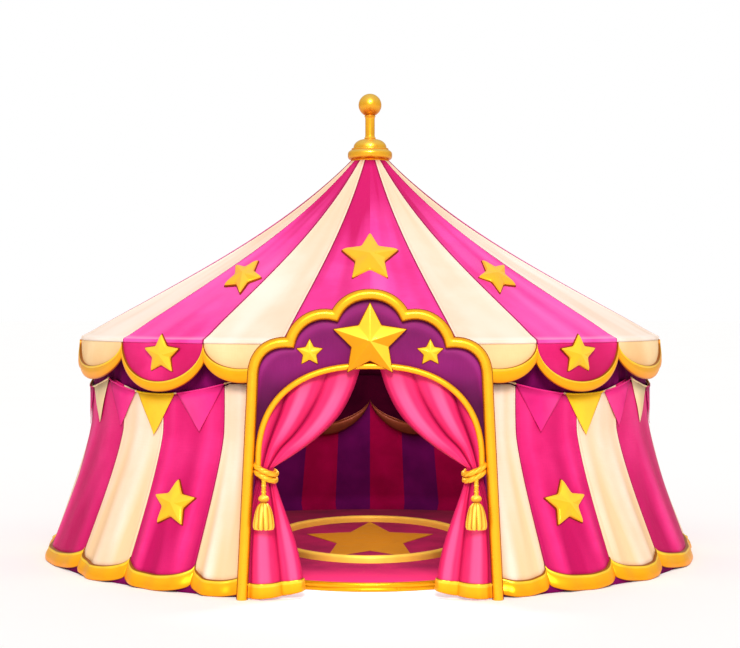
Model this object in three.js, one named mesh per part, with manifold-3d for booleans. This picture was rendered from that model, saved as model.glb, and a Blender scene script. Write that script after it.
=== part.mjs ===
// A circus big top tent: a round, striped canvas tent with a lobed portal, in millimetres, +Z up.
// The origin is on the ground at the tent's axis. The doorway faces -Y, and +X is on its right.
import * as THREE from "three";
import { mergeVertices } from "three/addons/utils/BufferGeometryUtils.js";
import Module from "manifold-3d";

const wasm = await Module();
wasm.setup();

// Driving dimensions
const GAP = 0.3;
const SHEET = 30;

const EAVE_RADIUS = 4170;
const EAVE_HEIGHT = 3147;
const CROWN_RADIUS = 290;
const ROOF_RISE = 2543;
const ROOF_SAG = 0.16;
const ROOF_DEPTH = 35;
const ROOF_ROWS = 6;

const WALL_HEAD_RADIUS = 4050;
const WALL_FOOT_RADIUS = 4670;
const FLARE_HEIGHT = 1950;
const FLARE_POWER = 1.25;
const WALL_TOP = 2420;
const WALL_ROWS = [600, 1100, 1660, FLARE_HEIGHT, WALL_TOP];

const HEM_PROUD = 30;
const HEM_HEIGHT = 190;
const HEM_TOP_RISE = 120;

const VALANCE_CUSP_DROP = 60;
const TRIM_CUSP_DROP = 270;
const TRIM_WIDTH = 130;
const TRIM_SWELL = 12;

// Stripe seams, in degrees from the doorway, on each side of the tent
const ROOF_SEAMS = [15, 30, 51, 80, 100, 129, 150, 165, 195];
const SCALLOP_DROPS = [367, 555, 402, 555, 402, 555, 367, 555];
const WALL_SEAMS = [28.3, 42.3, 56.6, 80, 100, 123.4, 137.7, 151.7, 165.9, 194.1];
const COLUMNS_A_SCALLOP = 6;
const COLUMNS_A_STRIPE = 4;
const ROOF_FRONT_END = 51;
const ROOF_SIDE_END = 129;
const VALANCE_FRONT_END = 80;
const WALL_FRONT_END = 56.6;
const WALL_SIDE_END = 123.4;

const PORTAL_BACK = -4460;
const FRAME_WIDTH = 125;
const FRAME_FRONT = PORTAL_BACK - FRAME_WIDTH;
const HEADER_DEPTH = 25;
const POST_FOOT = 1553.5;
const POST_SPLAY = 0.04856;
const POST_HEIGHT = 2743;

const SPRINGING = 1660;
const ARCH_HALF_WIDTH = 1356;
const ARCH_RISE = 1173;
const ARCH_TUBE = 78;
const ARCH_POWER = 2.4;
const ARCH_STEPS = 24;

const PORCH_INNER = { halfWidth: 1395, rise: 1225 };
const PORCH_OUTER = { halfWidth: 1440, rise: 1370 };
const PORCH_BACK = -3720;

const STAR_WAIST = 0.504;

const FLOOR_RADIUS = 4420;
const FLOOR_DEPTH = 40;
const INLAY_DEPTH = 8;
const THRESHOLD_HEIGHT = 100;
const THRESHOLD_DEPTH = 110;

const radians = THREE.MathUtils.degToRad;
const tent = new THREE.Group();

function finish(color, roughness, metalness = 0) {
  return new THREE.MeshStandardMaterial({ color, roughness, metalness });
}

const gold = finish(0xffb71b, 0.3, 0.6);
const pinkCanvas = finish(0xf4398c, 0.6);
const maroonCloth = finish(0x5e1024, 0.8);
const purpleCloth = finish(0x9c2972, 0.6);
const pinkSatin = finish(0xff4f92, 0.4);
const crimsonCarpet = finish(0x9a1746, 0.9);
const yellowCloth = finish(0xffd42a, 0.6);

// A geometry with shared vertices, and nothing but their positions
function closed(geometry) {
  const bare = geometry.clone();
  bare.deleteAttribute("normal");
  bare.deleteAttribute("uv");
  return mergeVertices(bare, 1e-3);
}

function mirrored(geometry) {
  const copy = geometry.clone();
  copy.scale(-1, 1, 1);
  const index = copy.index.array;
  for (let i = 0; i < index.length; i += 3) {
    const first = index[i];
    index[i] = index[i + 1];
    index[i + 1] = first;
  }
  return copy;
}

function solid(geometry) {
  const bare = closed(geometry);
  const vertProperties = new Float32Array(bare.attributes.position.array);
  const triVerts = new Uint32Array(bare.index.array);
  return new wasm.Manifold(new wasm.Mesh({ numProp: 3, vertProperties, triVerts }));
}

function union(...geometries) {
  return fromSolid(geometries.map(solid).reduce((a, b) => a.add(b)));
}

function fromSolid(body) {
  const mesh = body.getMesh();
  const geometry = new THREE.BufferGeometry();
  geometry.setAttribute("position", new THREE.BufferAttribute(mesh.vertProperties, 3));
  geometry.setIndex(new THREE.BufferAttribute(mesh.triVerts, 1));
  return geometry;
}

function add(name, geometry, material) {
  const shape = closed(geometry);
  shape.computeVertexNormals();
  const mesh = new THREE.Mesh(shape, material);
  mesh.name = name;
  tent.add(mesh);
  return mesh;
}

// The same piece on both sides of the doorway
function addPair(name, geometry, material) {
  const shape = closed(geometry);
  add(`${name}_right`, shape, material);
  add(`${name}_left`, mirrored(shape), material);
}

// A box of many cells, each corner placed by a function of its three grid numbers
function bent(columns, rows, place) {
  const box = new THREE.BoxGeometry(1, 1, 1, columns, rows, 1);
  box.translate(0.5, 0.5, 0.5);
  const spots = box.attributes.position;
  for (let i = 0; i < spots.count; i += 1) {
    const column = Math.round(spots.getX(i) * columns);
    const row = Math.round(spots.getY(i) * rows);
    const layer = Math.round(spots.getZ(i));
    spots.setXYZ(i, ...place(column, row, layer));
  }
  return closed(box);
}

// A point at an angle from the doorway, a radius from the axis and a height
function polar(degrees, radius, height) {
  const angle = radians(degrees);
  return [radius * Math.sin(angle), -radius * Math.cos(angle), height];
}

// An upright piece cut from a thick sheet, as an outline in X and Z with its front and back in Y
function upright(shape, front, back) {
  const geometry = new THREE.ExtrudeGeometry(shape, { depth: back - front, bevelEnabled: false });
  geometry.rotateX(Math.PI / 2);
  geometry.translate(0, back, 0);
  return geometry;
}

// A turned piece from a profile of radius and height, from the bottom up
function turned(profile, segments) {
  const points = profile.map(([radius, height]) => new THREE.Vector2(radius, height));
  return new THREE.LatheGeometry(points, segments).rotateX(Math.PI / 2);
}

// Angles through a row of scallops: close together at the cusps, wide apart in the middle
function scallopAngles(seams, columns) {
  const angles = [seams[0]];
  for (let i = 1; i < seams.length; i += 1) {
    const middle = (seams[i - 1] + seams[i]) / 2;
    const half = (seams[i] - seams[i - 1]) / 2;
    for (let j = 1; j <= columns; j += 1) {
      angles.push(middle - half * Math.cos((Math.PI * j) / columns));
    }
  }
  return angles.filter((angle) => angle <= 180 + 1e-6);
}

// Angles from one side of the doorway to the back, carried on round the other side
function around(angles) {
  return [...angles, ...angles.slice(0, -1).reverse().map((angle) => 360 - angle)];
}

function folded(degrees) {
  return degrees > 180 ? 360 - degrees : degrees;
}

// How full a scallop is at an angle: 0 at its cusps, 1 in its middle
function fullness(seams, anyDegrees) {
  const degrees = folded(anyDegrees);
  const i = Math.max(1, seams.findIndex((seam) => seam > degrees - 1e-9));
  const middle = (seams[i - 1] + seams[i]) / 2;
  const half = (seams[i] - seams[i - 1]) / 2;
  const share = (degrees - middle) / half;
  return { index: i - 1, full: Math.sqrt(Math.max(0, 1 - share * share)) };
}

// The gap under a scalloped edge, which is wider where the edge is steep and its faces twist
function steepGap(full) {
  return GAP + 5 * (1 - full);
}

const roofAngles = scallopAngles(ROOF_SEAMS, COLUMNS_A_SCALLOP);
const frontRoofAngles = [0, 5, 10];

function roofHeight(radius) {
  const share = (EAVE_RADIUS - radius) / (EAVE_RADIUS - CROWN_RADIUS);
  return EAVE_HEIGHT + ROOF_RISE * ((1 - ROOF_SAG) * share + ROOF_SAG * share ** 4);
}

function roofPanel(angles, depth = ROOF_DEPTH) {
  return bent(angles.length - 1, ROOF_ROWS, (column, row, layer) => {
    const radius = EAVE_RADIUS + ((CROWN_RADIUS - EAVE_RADIUS) * row) / ROOF_ROWS;
    const height = roofHeight(radius) - depth * (1 - layer);
    return polar(angles[column], radius, height);
  });
}

// A hairline gap at the end of a panel, so that it and the next one don't touch
function trimmed(angles, radius) {
  const gap = THREE.MathUtils.radToDeg(GAP / 2 / radius);
  const cut = [...angles];
  cut[0] += gap;
  cut[cut.length - 1] -= gap;
  return cut;
}

function between(angles, from, to) {
  return angles.filter((angle) => angle > from - 1e-6 && angle < to + 1e-6);
}

function addRoof() {
  const all = [...frontRoofAngles, ...roofAngles];
  const panels = [
    ["roof_front", 0, ROOF_FRONT_END],
    ["roof_side", ROOF_FRONT_END, ROOF_SIDE_END],
  ];
  panels.forEach(([name, from, to]) => {
    const angles = trimmed(between(all, from, to), CROWN_RADIUS);
    addPair(name, roofPanel(angles), pinkCanvas);
  });
  const rear = trimmed(around(between(all, ROOF_SIDE_END, 180)), CROWN_RADIUS);
  add("roof_rear", roofPanel(rear), pinkCanvas);
}

function addFinial() {
  const flangeBottom = roofHeight(CROWN_RADIUS) + GAP;
  const flange = { radius: 327, height: 200 };
  const dome = { bottom: 244, top: 81, height: 136 };
  const post = { radius: 73, height: 347 };
  const ballRadius = 169;
  const rounding = 18;

  const flangeProfile = [
    [0, flangeBottom],
    [flange.radius - rounding, flangeBottom],
    [flange.radius, flangeBottom + rounding],
    [flange.radius, flangeBottom + flange.height - rounding],
    [flange.radius - rounding, flangeBottom + flange.height],
    [0, flangeBottom + flange.height],
  ];
  add("crown_flange", turned(flangeProfile, 24), gold);

  const domeBottom = flangeBottom + flange.height + GAP;
  const domeProfile = [[0, domeBottom]];
  for (let i = 0; i <= 4; i += 1) {
    const turn = (Math.PI / 2) * (i / 4);
    const radius = dome.top + (dome.bottom - dome.top) * Math.cos(turn);
    domeProfile.push([radius, domeBottom + dome.height * Math.sin(turn)]);
  }
  domeProfile.push([0, domeBottom + dome.height]);
  add("crown_dome", turned(domeProfile, 24), gold);

  const postBottom = domeBottom + dome.height + GAP;
  const postTop = postBottom + post.height;
  const postProfile = [
    [0, postBottom],
    [post.radius, postBottom],
    [post.radius, postTop],
    [0, postTop],
  ];
  add("finial_post", turned(postProfile, 20), gold);

  const seat = Math.asin(post.radius / ballRadius);
  const ballCentre = postTop + GAP + ballRadius * Math.cos(seat);
  const ballProfile = [[0, postTop + GAP]];
  for (let i = 0; i <= 10; i += 1) {
    const turn = seat + (Math.PI - seat) * (i / 10);
    const radius = i === 10 ? 0 : ballRadius * Math.sin(turn);
    ballProfile.push([radius, ballCentre - ballRadius * Math.cos(turn)]);
  }
  add("finial_ball", turned(ballProfile, 20), gold);
}

function doorEdge(height) {
  const splay = POST_SPLAY * Math.max(0, SPRINGING - height);
  return PORCH_OUTER.halfWidth + splay + 4 * GAP;
}

function wallRadius(height) {
  const flare = Math.max(0, (FLARE_HEIGHT - height) / FLARE_HEIGHT) ** FLARE_POWER;
  return WALL_HEAD_RADIUS + (WALL_FOOT_RADIUS - WALL_HEAD_RADIUS) * flare;
}

function hemTop(degrees) {
  return HEM_HEIGHT + HEM_TOP_RISE * (1 - fullness(hemSeams, degrees).full);
}

const doorAngle = THREE.MathUtils.radToDeg(Math.asin(doorEdge(0) / WALL_FOOT_RADIUS));
const hemSeams = [doorAngle, ...WALL_SEAMS];
const wallAngles = scallopAngles(hemSeams, COLUMNS_A_STRIPE);

// The angle of a column, where the first stripe leans with the doorway's edge
function wallAngle(degrees, radius, height) {
  const near = folded(degrees);
  if (near >= WALL_SEAMS[0]) return degrees;
  const edge = THREE.MathUtils.radToDeg(Math.asin(doorEdge(height) / radius));
  const share = (near - doorAngle) / (WALL_SEAMS[0] - doorAngle);
  const angle = edge + (WALL_SEAMS[0] - edge) * share;
  return degrees > 180 ? 360 - angle : angle;
}

function wallPanel(angles, depth = SHEET) {
  return bent(angles.length - 1, WALL_ROWS.length, (column, row, layer) => {
    const seat = steepGap(fullness(hemSeams, angles[column]).full);
    const height = row === 0 ? hemTop(angles[column]) + seat : WALL_ROWS[row - 1] - GAP;
    const radius = wallRadius(height) - depth * (1 - layer);
    return polar(wallAngle(angles[column], radius, height), radius, height);
  });
}

function addWall() {
  const panels = [
    ["wall_front", doorAngle, WALL_FRONT_END],
    ["wall_side", WALL_FRONT_END, WALL_SIDE_END],
  ];
  panels.forEach(([name, from, to]) => {
    const angles = between(wallAngles, from, to);
    const cut = trimmed(angles, WALL_HEAD_RADIUS - SHEET);
    if (from === doorAngle) cut[0] = doorAngle;
    addPair(name, wallPanel(cut), pinkCanvas);
  });
  const rearAngles = around(between(wallAngles, WALL_SIDE_END, 180));
  const rear = trimmed(rearAngles, WALL_HEAD_RADIUS - SHEET);
  add("wall_rear", wallPanel(rear), pinkCanvas);
}

function addHem() {
  const angles = around(wallAngles);
  const geometry = bent(angles.length - 1, 1, (column, row, layer) => {
    const height = row === 0 ? 0 : hemTop(angles[column]);
    const radius = wallRadius(height) - SHEET + (SHEET + HEM_PROUD) * layer;
    return polar(wallAngle(angles[column], radius, height), radius, height);
  });
  add("wall_hem", geometry, gold);
}

const underRoof = (radius) => roofHeight(radius) - ROOF_DEPTH;

function addFrieze() {
  const edge = THREE.MathUtils.radToDeg(Math.asin(doorEdge(WALL_TOP) / WALL_HEAD_RADIUS));
  const angles = around([edge, ...roofAngles.filter((a) => a > edge + 1)]);
  const last = angles.length - 1;
  const sides = bent(last, 1, (column, row, layer) => {
    const radius = WALL_HEAD_RADIUS - SHEET * (1 - layer);
    const isEnd = column === 0 || column === last;
    const seat = isEnd ? 10 * GAP : GAP;
    const height = row === 0 ? WALL_TOP : underRoof(radius) - seat;
    const atDoor = THREE.MathUtils.radToDeg(Math.asin(doorEdge(WALL_TOP) / radius));
    if (isEnd) return polar(column === 0 ? atDoor : 360 - atDoor, radius, height);
    return polar(angles[column], radius, height);
  });
  add("wall_head_band", sides, maroonCloth);

  // Over the doorway the band's lower edge follows the porch.
  const centre = bent(ARCH_STEPS, 1, (column, row, layer) => {
    const radius = WALL_HEAD_RADIUS - SHEET * (1 - layer);
    const [x, z] = archPoint(Math.PI * (1 - column / ARCH_STEPS), PORCH_OUTER, 2 * GAP);
    const height = row === 0 ? z : underRoof(radius) - 10 * GAP;
    return [x, -Math.sqrt(radius * radius - x * x), height];
  });
  add("wall_head_centre", centre, maroonCloth);
}

function addValance() {
  const fabricFoot = (degrees) => {
    const { index, full } = fullness(ROOF_SEAMS, degrees);
    const drop = SCALLOP_DROPS[index];
    return EAVE_HEIGHT - VALANCE_CUSP_DROP - (drop - VALANCE_CUSP_DROP) * full;
  };
  const trimFoot = (degrees) => {
    const { index, full } = fullness(ROOF_SEAMS, degrees);
    const drop = SCALLOP_DROPS[index] + TRIM_WIDTH;
    return EAVE_HEIGHT - TRIM_CUSP_DROP - (drop - TRIM_CUSP_DROP) * full;
  };
  const inside = EAVE_RADIUS + GAP;
  const hang = (exact) => {
    const angles = trimmed(exact, EAVE_RADIUS);
    const fabric = bent(angles.length - 1, 1, (column, row, layer) => {
      const height = row === 0 ? fabricFoot(exact[column]) : EAVE_HEIGHT;
      return polar(angles[column], inside + SHEET * layer, height);
    });
    const trim = bent(angles.length - 1, 1, (column, row, layer) => {
      const degrees = exact[column];
      const seat = steepGap(fullness(ROOF_SEAMS, degrees).full);
      const height = row === 0 ? trimFoot(degrees) : fabricFoot(degrees) - seat;
      const radius = inside - TRIM_SWELL + (SHEET + 2 * TRIM_SWELL) * layer;
      return polar(angles[column], radius, height);
    });
    return { fabric, trim };
  };
  const front = hang(between(roofAngles, ROOF_SEAMS[0], VALANCE_FRONT_END));
  addPair("valance_front", front.fabric, pinkCanvas);
  addPair("valance_trim_front", front.trim, gold);
  const rear = hang(around(between(roofAngles, VALANCE_FRONT_END, 180)));
  add("valance_rear", rear.fabric, pinkCanvas);
  add("valance_trim_rear", rear.trim, gold);
}

// The wall's outer face as its flat cells have it, which is a little outside of its curve
function wallCellRadius(height) {
  const rows = [WALL_ROWS[2], FLARE_HEIGHT];
  const low = wallRadius(rows[0]);
  const share = Math.max(0, (rows[1] - height) / (rows[1] - rows[0]));
  return WALL_HEAD_RADIUS + (low - WALL_HEAD_RADIUS) * share;
}

function addBunting() {
  const firstFlag = 26.6;
  const swags = 9;
  const swag = (360 - 2 * firstFlag) / swags;
  const sag = 165;
  const high = 2585;
  const cord = 24;
  const flag = { height: 530, steps: 4, perSwag: 3 };
  const thick = 12;
  const clear = 1.6;
  const columns = swags * flag.perSwag * flag.steps;
  const geometry = bent(columns, 1, (column, row, layer) => {
    const along = column / (flag.perSwag * flag.steps);
    const share = along - Math.floor(along);
    const top = high - 4 * sag * share * (1 - share);
    const inFlag = (column % flag.steps) / flag.steps;
    const reach = flag.height * (1 - Math.abs(2 * inFlag - 1));
    const height = row === 0 ? top - cord - reach : top;
    const radius = wallCellRadius(height) + clear + thick * layer;
    return polar(firstFlag + swag * along, radius, height);
  });
  add("bunting", geometry, yellowCloth);
}

function addPelmet() {
  const scallop = 22.5;
  const columns = 8;
  const top = WALL_TOP - 40;
  const thick = 20;
  const cuspDrop = 400;
  const drop = 1000;
  const seat = 1.4;
  const count = 8;
  const steps = wallAngles.map((angle, i) => (i === 0 ? 0 : angle - wallAngles[i - 1]));
  const face = (WALL_HEAD_RADIUS - SHEET) * Math.cos(radians(Math.max(...steps) / 2)) + seat;
  const angles = [];
  for (let i = 0; i < count; i += 1) {
    for (let j = i === 0 ? 0 : 1; j <= columns; j += 1) {
      const share = (1 - Math.cos((Math.PI * j) / columns)) / 2;
      angles.push({ degrees: 90 + scallop * (i + share), full: Math.sin(Math.PI * j / columns) });
    }
  }
  const geometry = bent(angles.length - 1, 1, (column, row, layer) => {
    const { degrees, full } = angles[column];
    const foot = top - cuspDrop - (drop - cuspDrop) * full;
    const radius = face - thick * (1 - layer);
    return polar(degrees, radius, row === 0 ? foot : top);
  });
  add("pelmet", geometry, crimsonCarpet);
}

// A point on a full arch above the springing: the angle is 0 at the right foot
function archPoint(turn, { halfWidth, rise }, offset = 0) {
  const cos = Math.cos(turn);
  const across = Math.sign(cos) * Math.abs(cos) ** (2 / ARCH_POWER);
  const up = Math.max(0, Math.sin(turn)) ** (2 / ARCH_POWER);
  return [(halfWidth + offset) * across, SPRINGING + (rise + offset) * up];
}

function archLine(arch, offset, steps = ARCH_STEPS) {
  const points = [];
  for (let i = 0; i <= steps; i += 1) {
    const [x, z] = archPoint((Math.PI * i) / steps, arch, offset);
    points.push(new THREE.Vector2(x, z));
  }
  points[0].y = SPRINGING;
  points[steps].y = SPRINGING;
  return points;
}

// The portal frame's centre line, from the right foot over the five lobes to the left foot
function frameLine() {
  const shoulder = POST_FOOT - POST_SPLAY * POST_HEIGHT;
  const spot = (x, z) => new THREE.Vector2(x, z);
  const half = new THREE.CurvePath();
  half.add(new THREE.LineCurve(spot(POST_FOOT, 0), spot(shoulder, POST_HEIGHT)));
  half.add(new THREE.CubicBezierCurve(
    spot(shoulder, POST_HEIGHT), spot(1405, 2990), spot(1240, 3140), spot(970, 3116)));
  half.add(new THREE.CubicBezierCurve(
    spot(970, 3116), spot(930, 3330), spot(700, 3520), spot(423, 3443)));
  half.add(new THREE.CubicBezierCurve(
    spot(423, 3443), spot(340, 3625), spot(170, 3701.5), spot(0, 3701.5)));
  const right = [];
  half.curves.forEach((curve, i) => {
    const points = curve.getPoints(i === 0 ? 1 : 6);
    right.push(...(i === 0 ? points : points.slice(1)));
  });
  const left = right.slice(0, -1).reverse().map((point) => spot(-point.x, point.y));
  return [...right, ...left];
}

// The line moved sideways, to its left as it runs, with mitred corners
function offsetLine(points, distance) {
  return points.map((point, i) => {
    const before = points[Math.max(0, i - 1)];
    const after = points[Math.min(points.length - 1, i + 1)];
    const into = i === 0 ? after.clone().sub(point) : point.clone().sub(before);
    const out = i === points.length - 1 ? into.clone() : after.clone().sub(point);
    const first = new THREE.Vector2(-into.y, into.x).normalize();
    const second = new THREE.Vector2(-out.y, out.x).normalize();
    const mitre = first.clone().add(second).normalize();
    return point.clone().addScaledVector(mitre, distance / mitre.dot(second));
  });
}

function addPortal() {
  const line = frameLine();
  const outer = offsetLine(line, -FRAME_WIDTH / 2);
  const inner = offsetLine(line, FRAME_WIDTH / 2);
  [outer, inner].forEach((edge) => {
    edge[0].y = 0;
    edge[edge.length - 1].y = 0;
  });
  const frameShape = new THREE.Shape([...outer, ...inner.reverse()]);
  add("portal_frame", upright(frameShape, FRAME_FRONT, PORTAL_BACK), gold);

  const arch = { halfWidth: ARCH_HALF_WIDTH, rise: ARCH_RISE };
  const archOuter = archLine(arch, ARCH_TUBE / 2);
  const archInner = archLine(arch, -ARCH_TUBE / 2);
  const archShape = new THREE.Shape([...archOuter, ...archInner.reverse()]);
  add("portal_arch", upright(archShape, PORTAL_BACK - ARCH_TUBE, PORTAL_BACK), gold);

  const edge = offsetLine(line, FRAME_WIDTH / 2 + GAP).slice(1, -1);
  const postInside = POST_FOOT - POST_SPLAY * SPRINGING - FRAME_WIDTH / 2 - GAP;
  const headerShape = new THREE.Shape([
    new THREE.Vector2(postInside, SPRINGING),
    ...edge,
    new THREE.Vector2(-postInside, SPRINGING),
    ...archLine(arch, ARCH_TUBE / 2 + GAP).reverse(),
  ]);
  add("portal_header", upright(headerShape, PORTAL_BACK - HEADER_DEPTH, PORTAL_BACK), purpleCloth);

  const spread = POST_SPLAY * SPRINGING;
  const porchOuter = archLine(PORCH_OUTER, 0);
  const porchInner = archLine(PORCH_INNER, 0).reverse();
  const porchShape = new THREE.Shape([
    new THREE.Vector2(PORCH_OUTER.halfWidth + spread, 0),
    ...porchOuter,
    new THREE.Vector2(-PORCH_OUTER.halfWidth - spread, 0),
    new THREE.Vector2(-PORCH_INNER.halfWidth - spread, 0),
    ...porchInner,
    new THREE.Vector2(PORCH_INNER.halfWidth + spread, 0),
  ]);
  add("porch", upright(porchShape, PORTAL_BACK + GAP, PORCH_BACK), purpleCloth);
}

// A five-pointed star with a raised middle and a flat back, in X and Z, facing -Y
function star(radius, height, edge) {
  const profile = [[0, 0], [1, 0], [1, edge], [0, height]];
  const points = profile.map(([out, up]) => new THREE.Vector2(out, up));
  const shape = closed(new THREE.LatheGeometry(points, 10));
  const spots = shape.attributes.position;
  for (let i = 0; i < spots.count; i += 1) {
    const turn = Math.atan2(spots.getX(i), spots.getZ(i));
    const isTip = Math.round(turn / (Math.PI / 5)) % 2 === 0;
    const reach = isTip ? radius : radius * STAR_WAIST;
    spots.setXYZ(i, spots.getX(i) * reach, spots.getY(i), spots.getZ(i) * reach);
  }
  return shape.rotateZ(Math.PI);
}

// A piece cut back by what carries it, which is first moved out by a hairline gap
function seated(geometry, carrier, x, y, z) {
  return fromSolid(solid(geometry).subtract(solid(carrier.clone().translate(x, y, z))));
}

// The stars on the roof are drawn out along a line, so that they look regular from the front.
function roofStar(degrees, radius, size, stretch) {
  const near = 10;
  const steep = Math.atan((roofHeight(radius - near) - roofHeight(radius + near)) / (2 * near));
  const sink = 25;
  const height = 90;
  const edge = 45;
  const shape = star(size, height, edge).rotateY(-radians(stretch.lean + stretch.turn));
  shape.scale(1, 1, stretch.share).rotateY(radians(stretch.lean));
  shape.translate(0, sink, 0);
  shape.rotateX(steep - Math.PI / 2);
  shape.rotateZ(radians(degrees));
  shape.translate(...polar(degrees, radius, roofHeight(radius)));
  const side = [...frontRoofAngles, ...roofAngles.filter((angle) => angle <= ROOF_FRONT_END)];
  const otherSide = side.slice(1).reverse().map((angle) => -angle);
  const carrier = roofPanel([...otherSide, ...side], 3 * ROOF_DEPTH);
  return seated(shape, carrier, 0, 0, GAP);
}

function addStars() {
  const headerFront = PORTAL_BACK - HEADER_DEPTH - GAP;
  const big = { radius: 456, height: 190, edge: 95, up: 3135 };
  const arch = { halfWidth: ARCH_HALF_WIDTH, rise: ARCH_RISE };
  const archRoom = new THREE.Shape([
    ...archLine(arch, ARCH_TUBE / 2 + GAP),
    ...archLine(arch, -ARCH_TUBE / 2 - GAP).reverse(),
  ]);
  const room = upright(archRoom, PORTAL_BACK - ARCH_TUBE - GAP, PORTAL_BACK);
  const bigStar = star(big.radius, big.height, big.edge).translate(0, headerFront, big.up);
  add("header_star_big", seated(bigStar, room, 0, 0, 0), gold);
  const small = { radius: 157, height: 62, edge: 20, across: 732, up: 2993 };
  const smallStar = star(small.radius, small.height, small.edge);
  addPair("header_star", smallStar.translate(small.across, headerFront, small.up), gold);

  const upSlope = { share: 1.7, lean: 0, turn: 0 };
  const aslant = { share: 2, lean: 37.7, turn: 6 };
  add("roof_star_centre", roofStar(0, 2270, 385, upSlope), gold);
  addPair("roof_star", roofStar(39.5, 2690, 270, aslant), gold);

  const valanceStar = { degrees: 39.4, up: 2936, size: 250, height: 66, edge: 18, widen: 1.25 };
  const valanceFace = EAVE_RADIUS + SHEET;
  const onValance = star(valanceStar.size, valanceStar.height, valanceStar.edge);
  onValance.scale(valanceStar.widen, 1, 1).rotateZ(radians(valanceStar.degrees));
  onValance.translate(...polar(valanceStar.degrees, valanceFace, valanceStar.up));
  addPair("valance_star", onValance, gold);

  const wallStar = { degrees: 35.3, up: 1048, size: 305, height: 100, edge: 45, sink: 25, widen: 1.1 };
  const onWall = star(wallStar.size, wallStar.height, wallStar.edge);
  onWall.scale(wallStar.widen, 1, 1).translate(0, wallStar.sink, 0);
  const near = 200;
  const below = wallRadius(wallStar.up - near);
  const above = wallRadius(wallStar.up + near);
  const lean = Math.atan((below - above) / (2 * near));
  onWall.rotateX(-lean).rotateZ(radians(wallStar.degrees));
  onWall.translate(...polar(wallStar.degrees, wallRadius(wallStar.up), wallStar.up));
  const wall = wallPanel(between(wallAngles, doorAngle, WALL_FRONT_END), 3 * SHEET);
  const [x, y] = polar(wallStar.degrees, GAP, 0);
  addPair("wall_star", seated(onWall, wall, x, y, 0), gold);
}

function addCurtains() {
  const spot = (x, z) => new THREE.Vector2(x, z);
  const top = { halfWidth: 1385, rise: 1200 };
  const upperFront = PORTAL_BACK + GAP;
  const upperBack = upperFront + 90;
  const lowerFront = -4529.5;
  const tie = { x: 1225, y: -4450, radiusX: 91.4, radiusY: 70.3, low: 1400, high: 1630 };

  const outside = [];
  const steps = 10;
  const firstTurn = 1.52;
  for (let i = 0; i <= steps; i += 1) {
    outside.push(spot(...archPoint(firstTurn * (1 - i / steps), top)));
  }
  const inside = new THREE.SplineCurve([
    spot(1120, 1640), spot(868, 1786), spot(603, 1990), spot(368, 2233), spot(205, 2534), spot(121, 2788),
  ]).getPoints(10);
  const upperShape = new THREE.Shape([...outside, spot(1310, 1615), spot(1140, 1615), ...inside]);
  const upper = upright(upperShape, upperFront, upperBack);

  const postInside = (z) => POST_FOOT - POST_SPLAY * z - FRAME_WIDTH / 2 - 10;
  const hemTopEdge = 190;
  const lowerShape = new THREE.Shape([
    spot(1140, 1430), spot(1049, 1195), spot(929, 785), spot(856, 508), spot(796, hemTopEdge),
    spot(postInside(hemTopEdge), hemTopEdge), spot(postInside(800), 800), spot(1400, 1200), spot(1315, 1430),
  ]);
  const lower = upright(lowerShape, lowerFront, PORTAL_BACK);

  const tieHeight = tie.high - tie.low;
  const gather = new THREE.CylinderGeometry(1, 1, tieHeight, 20).rotateX(Math.PI / 2);
  gather.scale(tie.radiusX, tie.radiusY, 1);
  gather.translate(tie.x, tie.y, tie.low + tieHeight / 2);
  addPair("curtain", union(upper, lower, gather), pinkSatin);

  const hemShape = new THREE.Shape([
    spot(790, 20), spot(postInside(0), 20), spot(postInside(hemTopEdge), hemTopEdge - GAP),
    spot(796, hemTopEdge - GAP),
  ]);
  addPair("curtain_hem", upright(hemShape, lowerFront - 8, PORTAL_BACK), gold);

  addTieback(tie);
}

// Two turns of rope round the curtain, with a cord, a bead and a tassel hanging from a knot
function addTieback(tie) {
  const rope = { radius: 38, across: 130, deep: 0.77, sides: 6, segments: 20 };
  const turns = [1509, 1573].map((height) => {
    const ring = new THREE.TorusGeometry(rope.across, rope.radius, rope.sides, rope.segments);
    return ring.scale(1, rope.deep, 1).translate(tie.x, tie.y, height);
  });
  const hang = { x: 1282, y: -4615, deep: 0.645 };
  const knot = new THREE.SphereGeometry(48, 8, 6).translate(1262, -4582, 1500);
  const profile = [
    [0, 876], [131, 876], [118, 960], [80, 1090], [46, 1165], [24, 1180], [60, 1205],
    [67, 1232], [60, 1258], [24, 1282], [24, 1500], [0, 1520],
  ];
  const drop = turned(profile, 12).scale(1, hang.deep, 1).translate(hang.x, hang.y, 0);
  addPair("tieback", union(...turns, knot, drop), gold);
}

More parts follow.
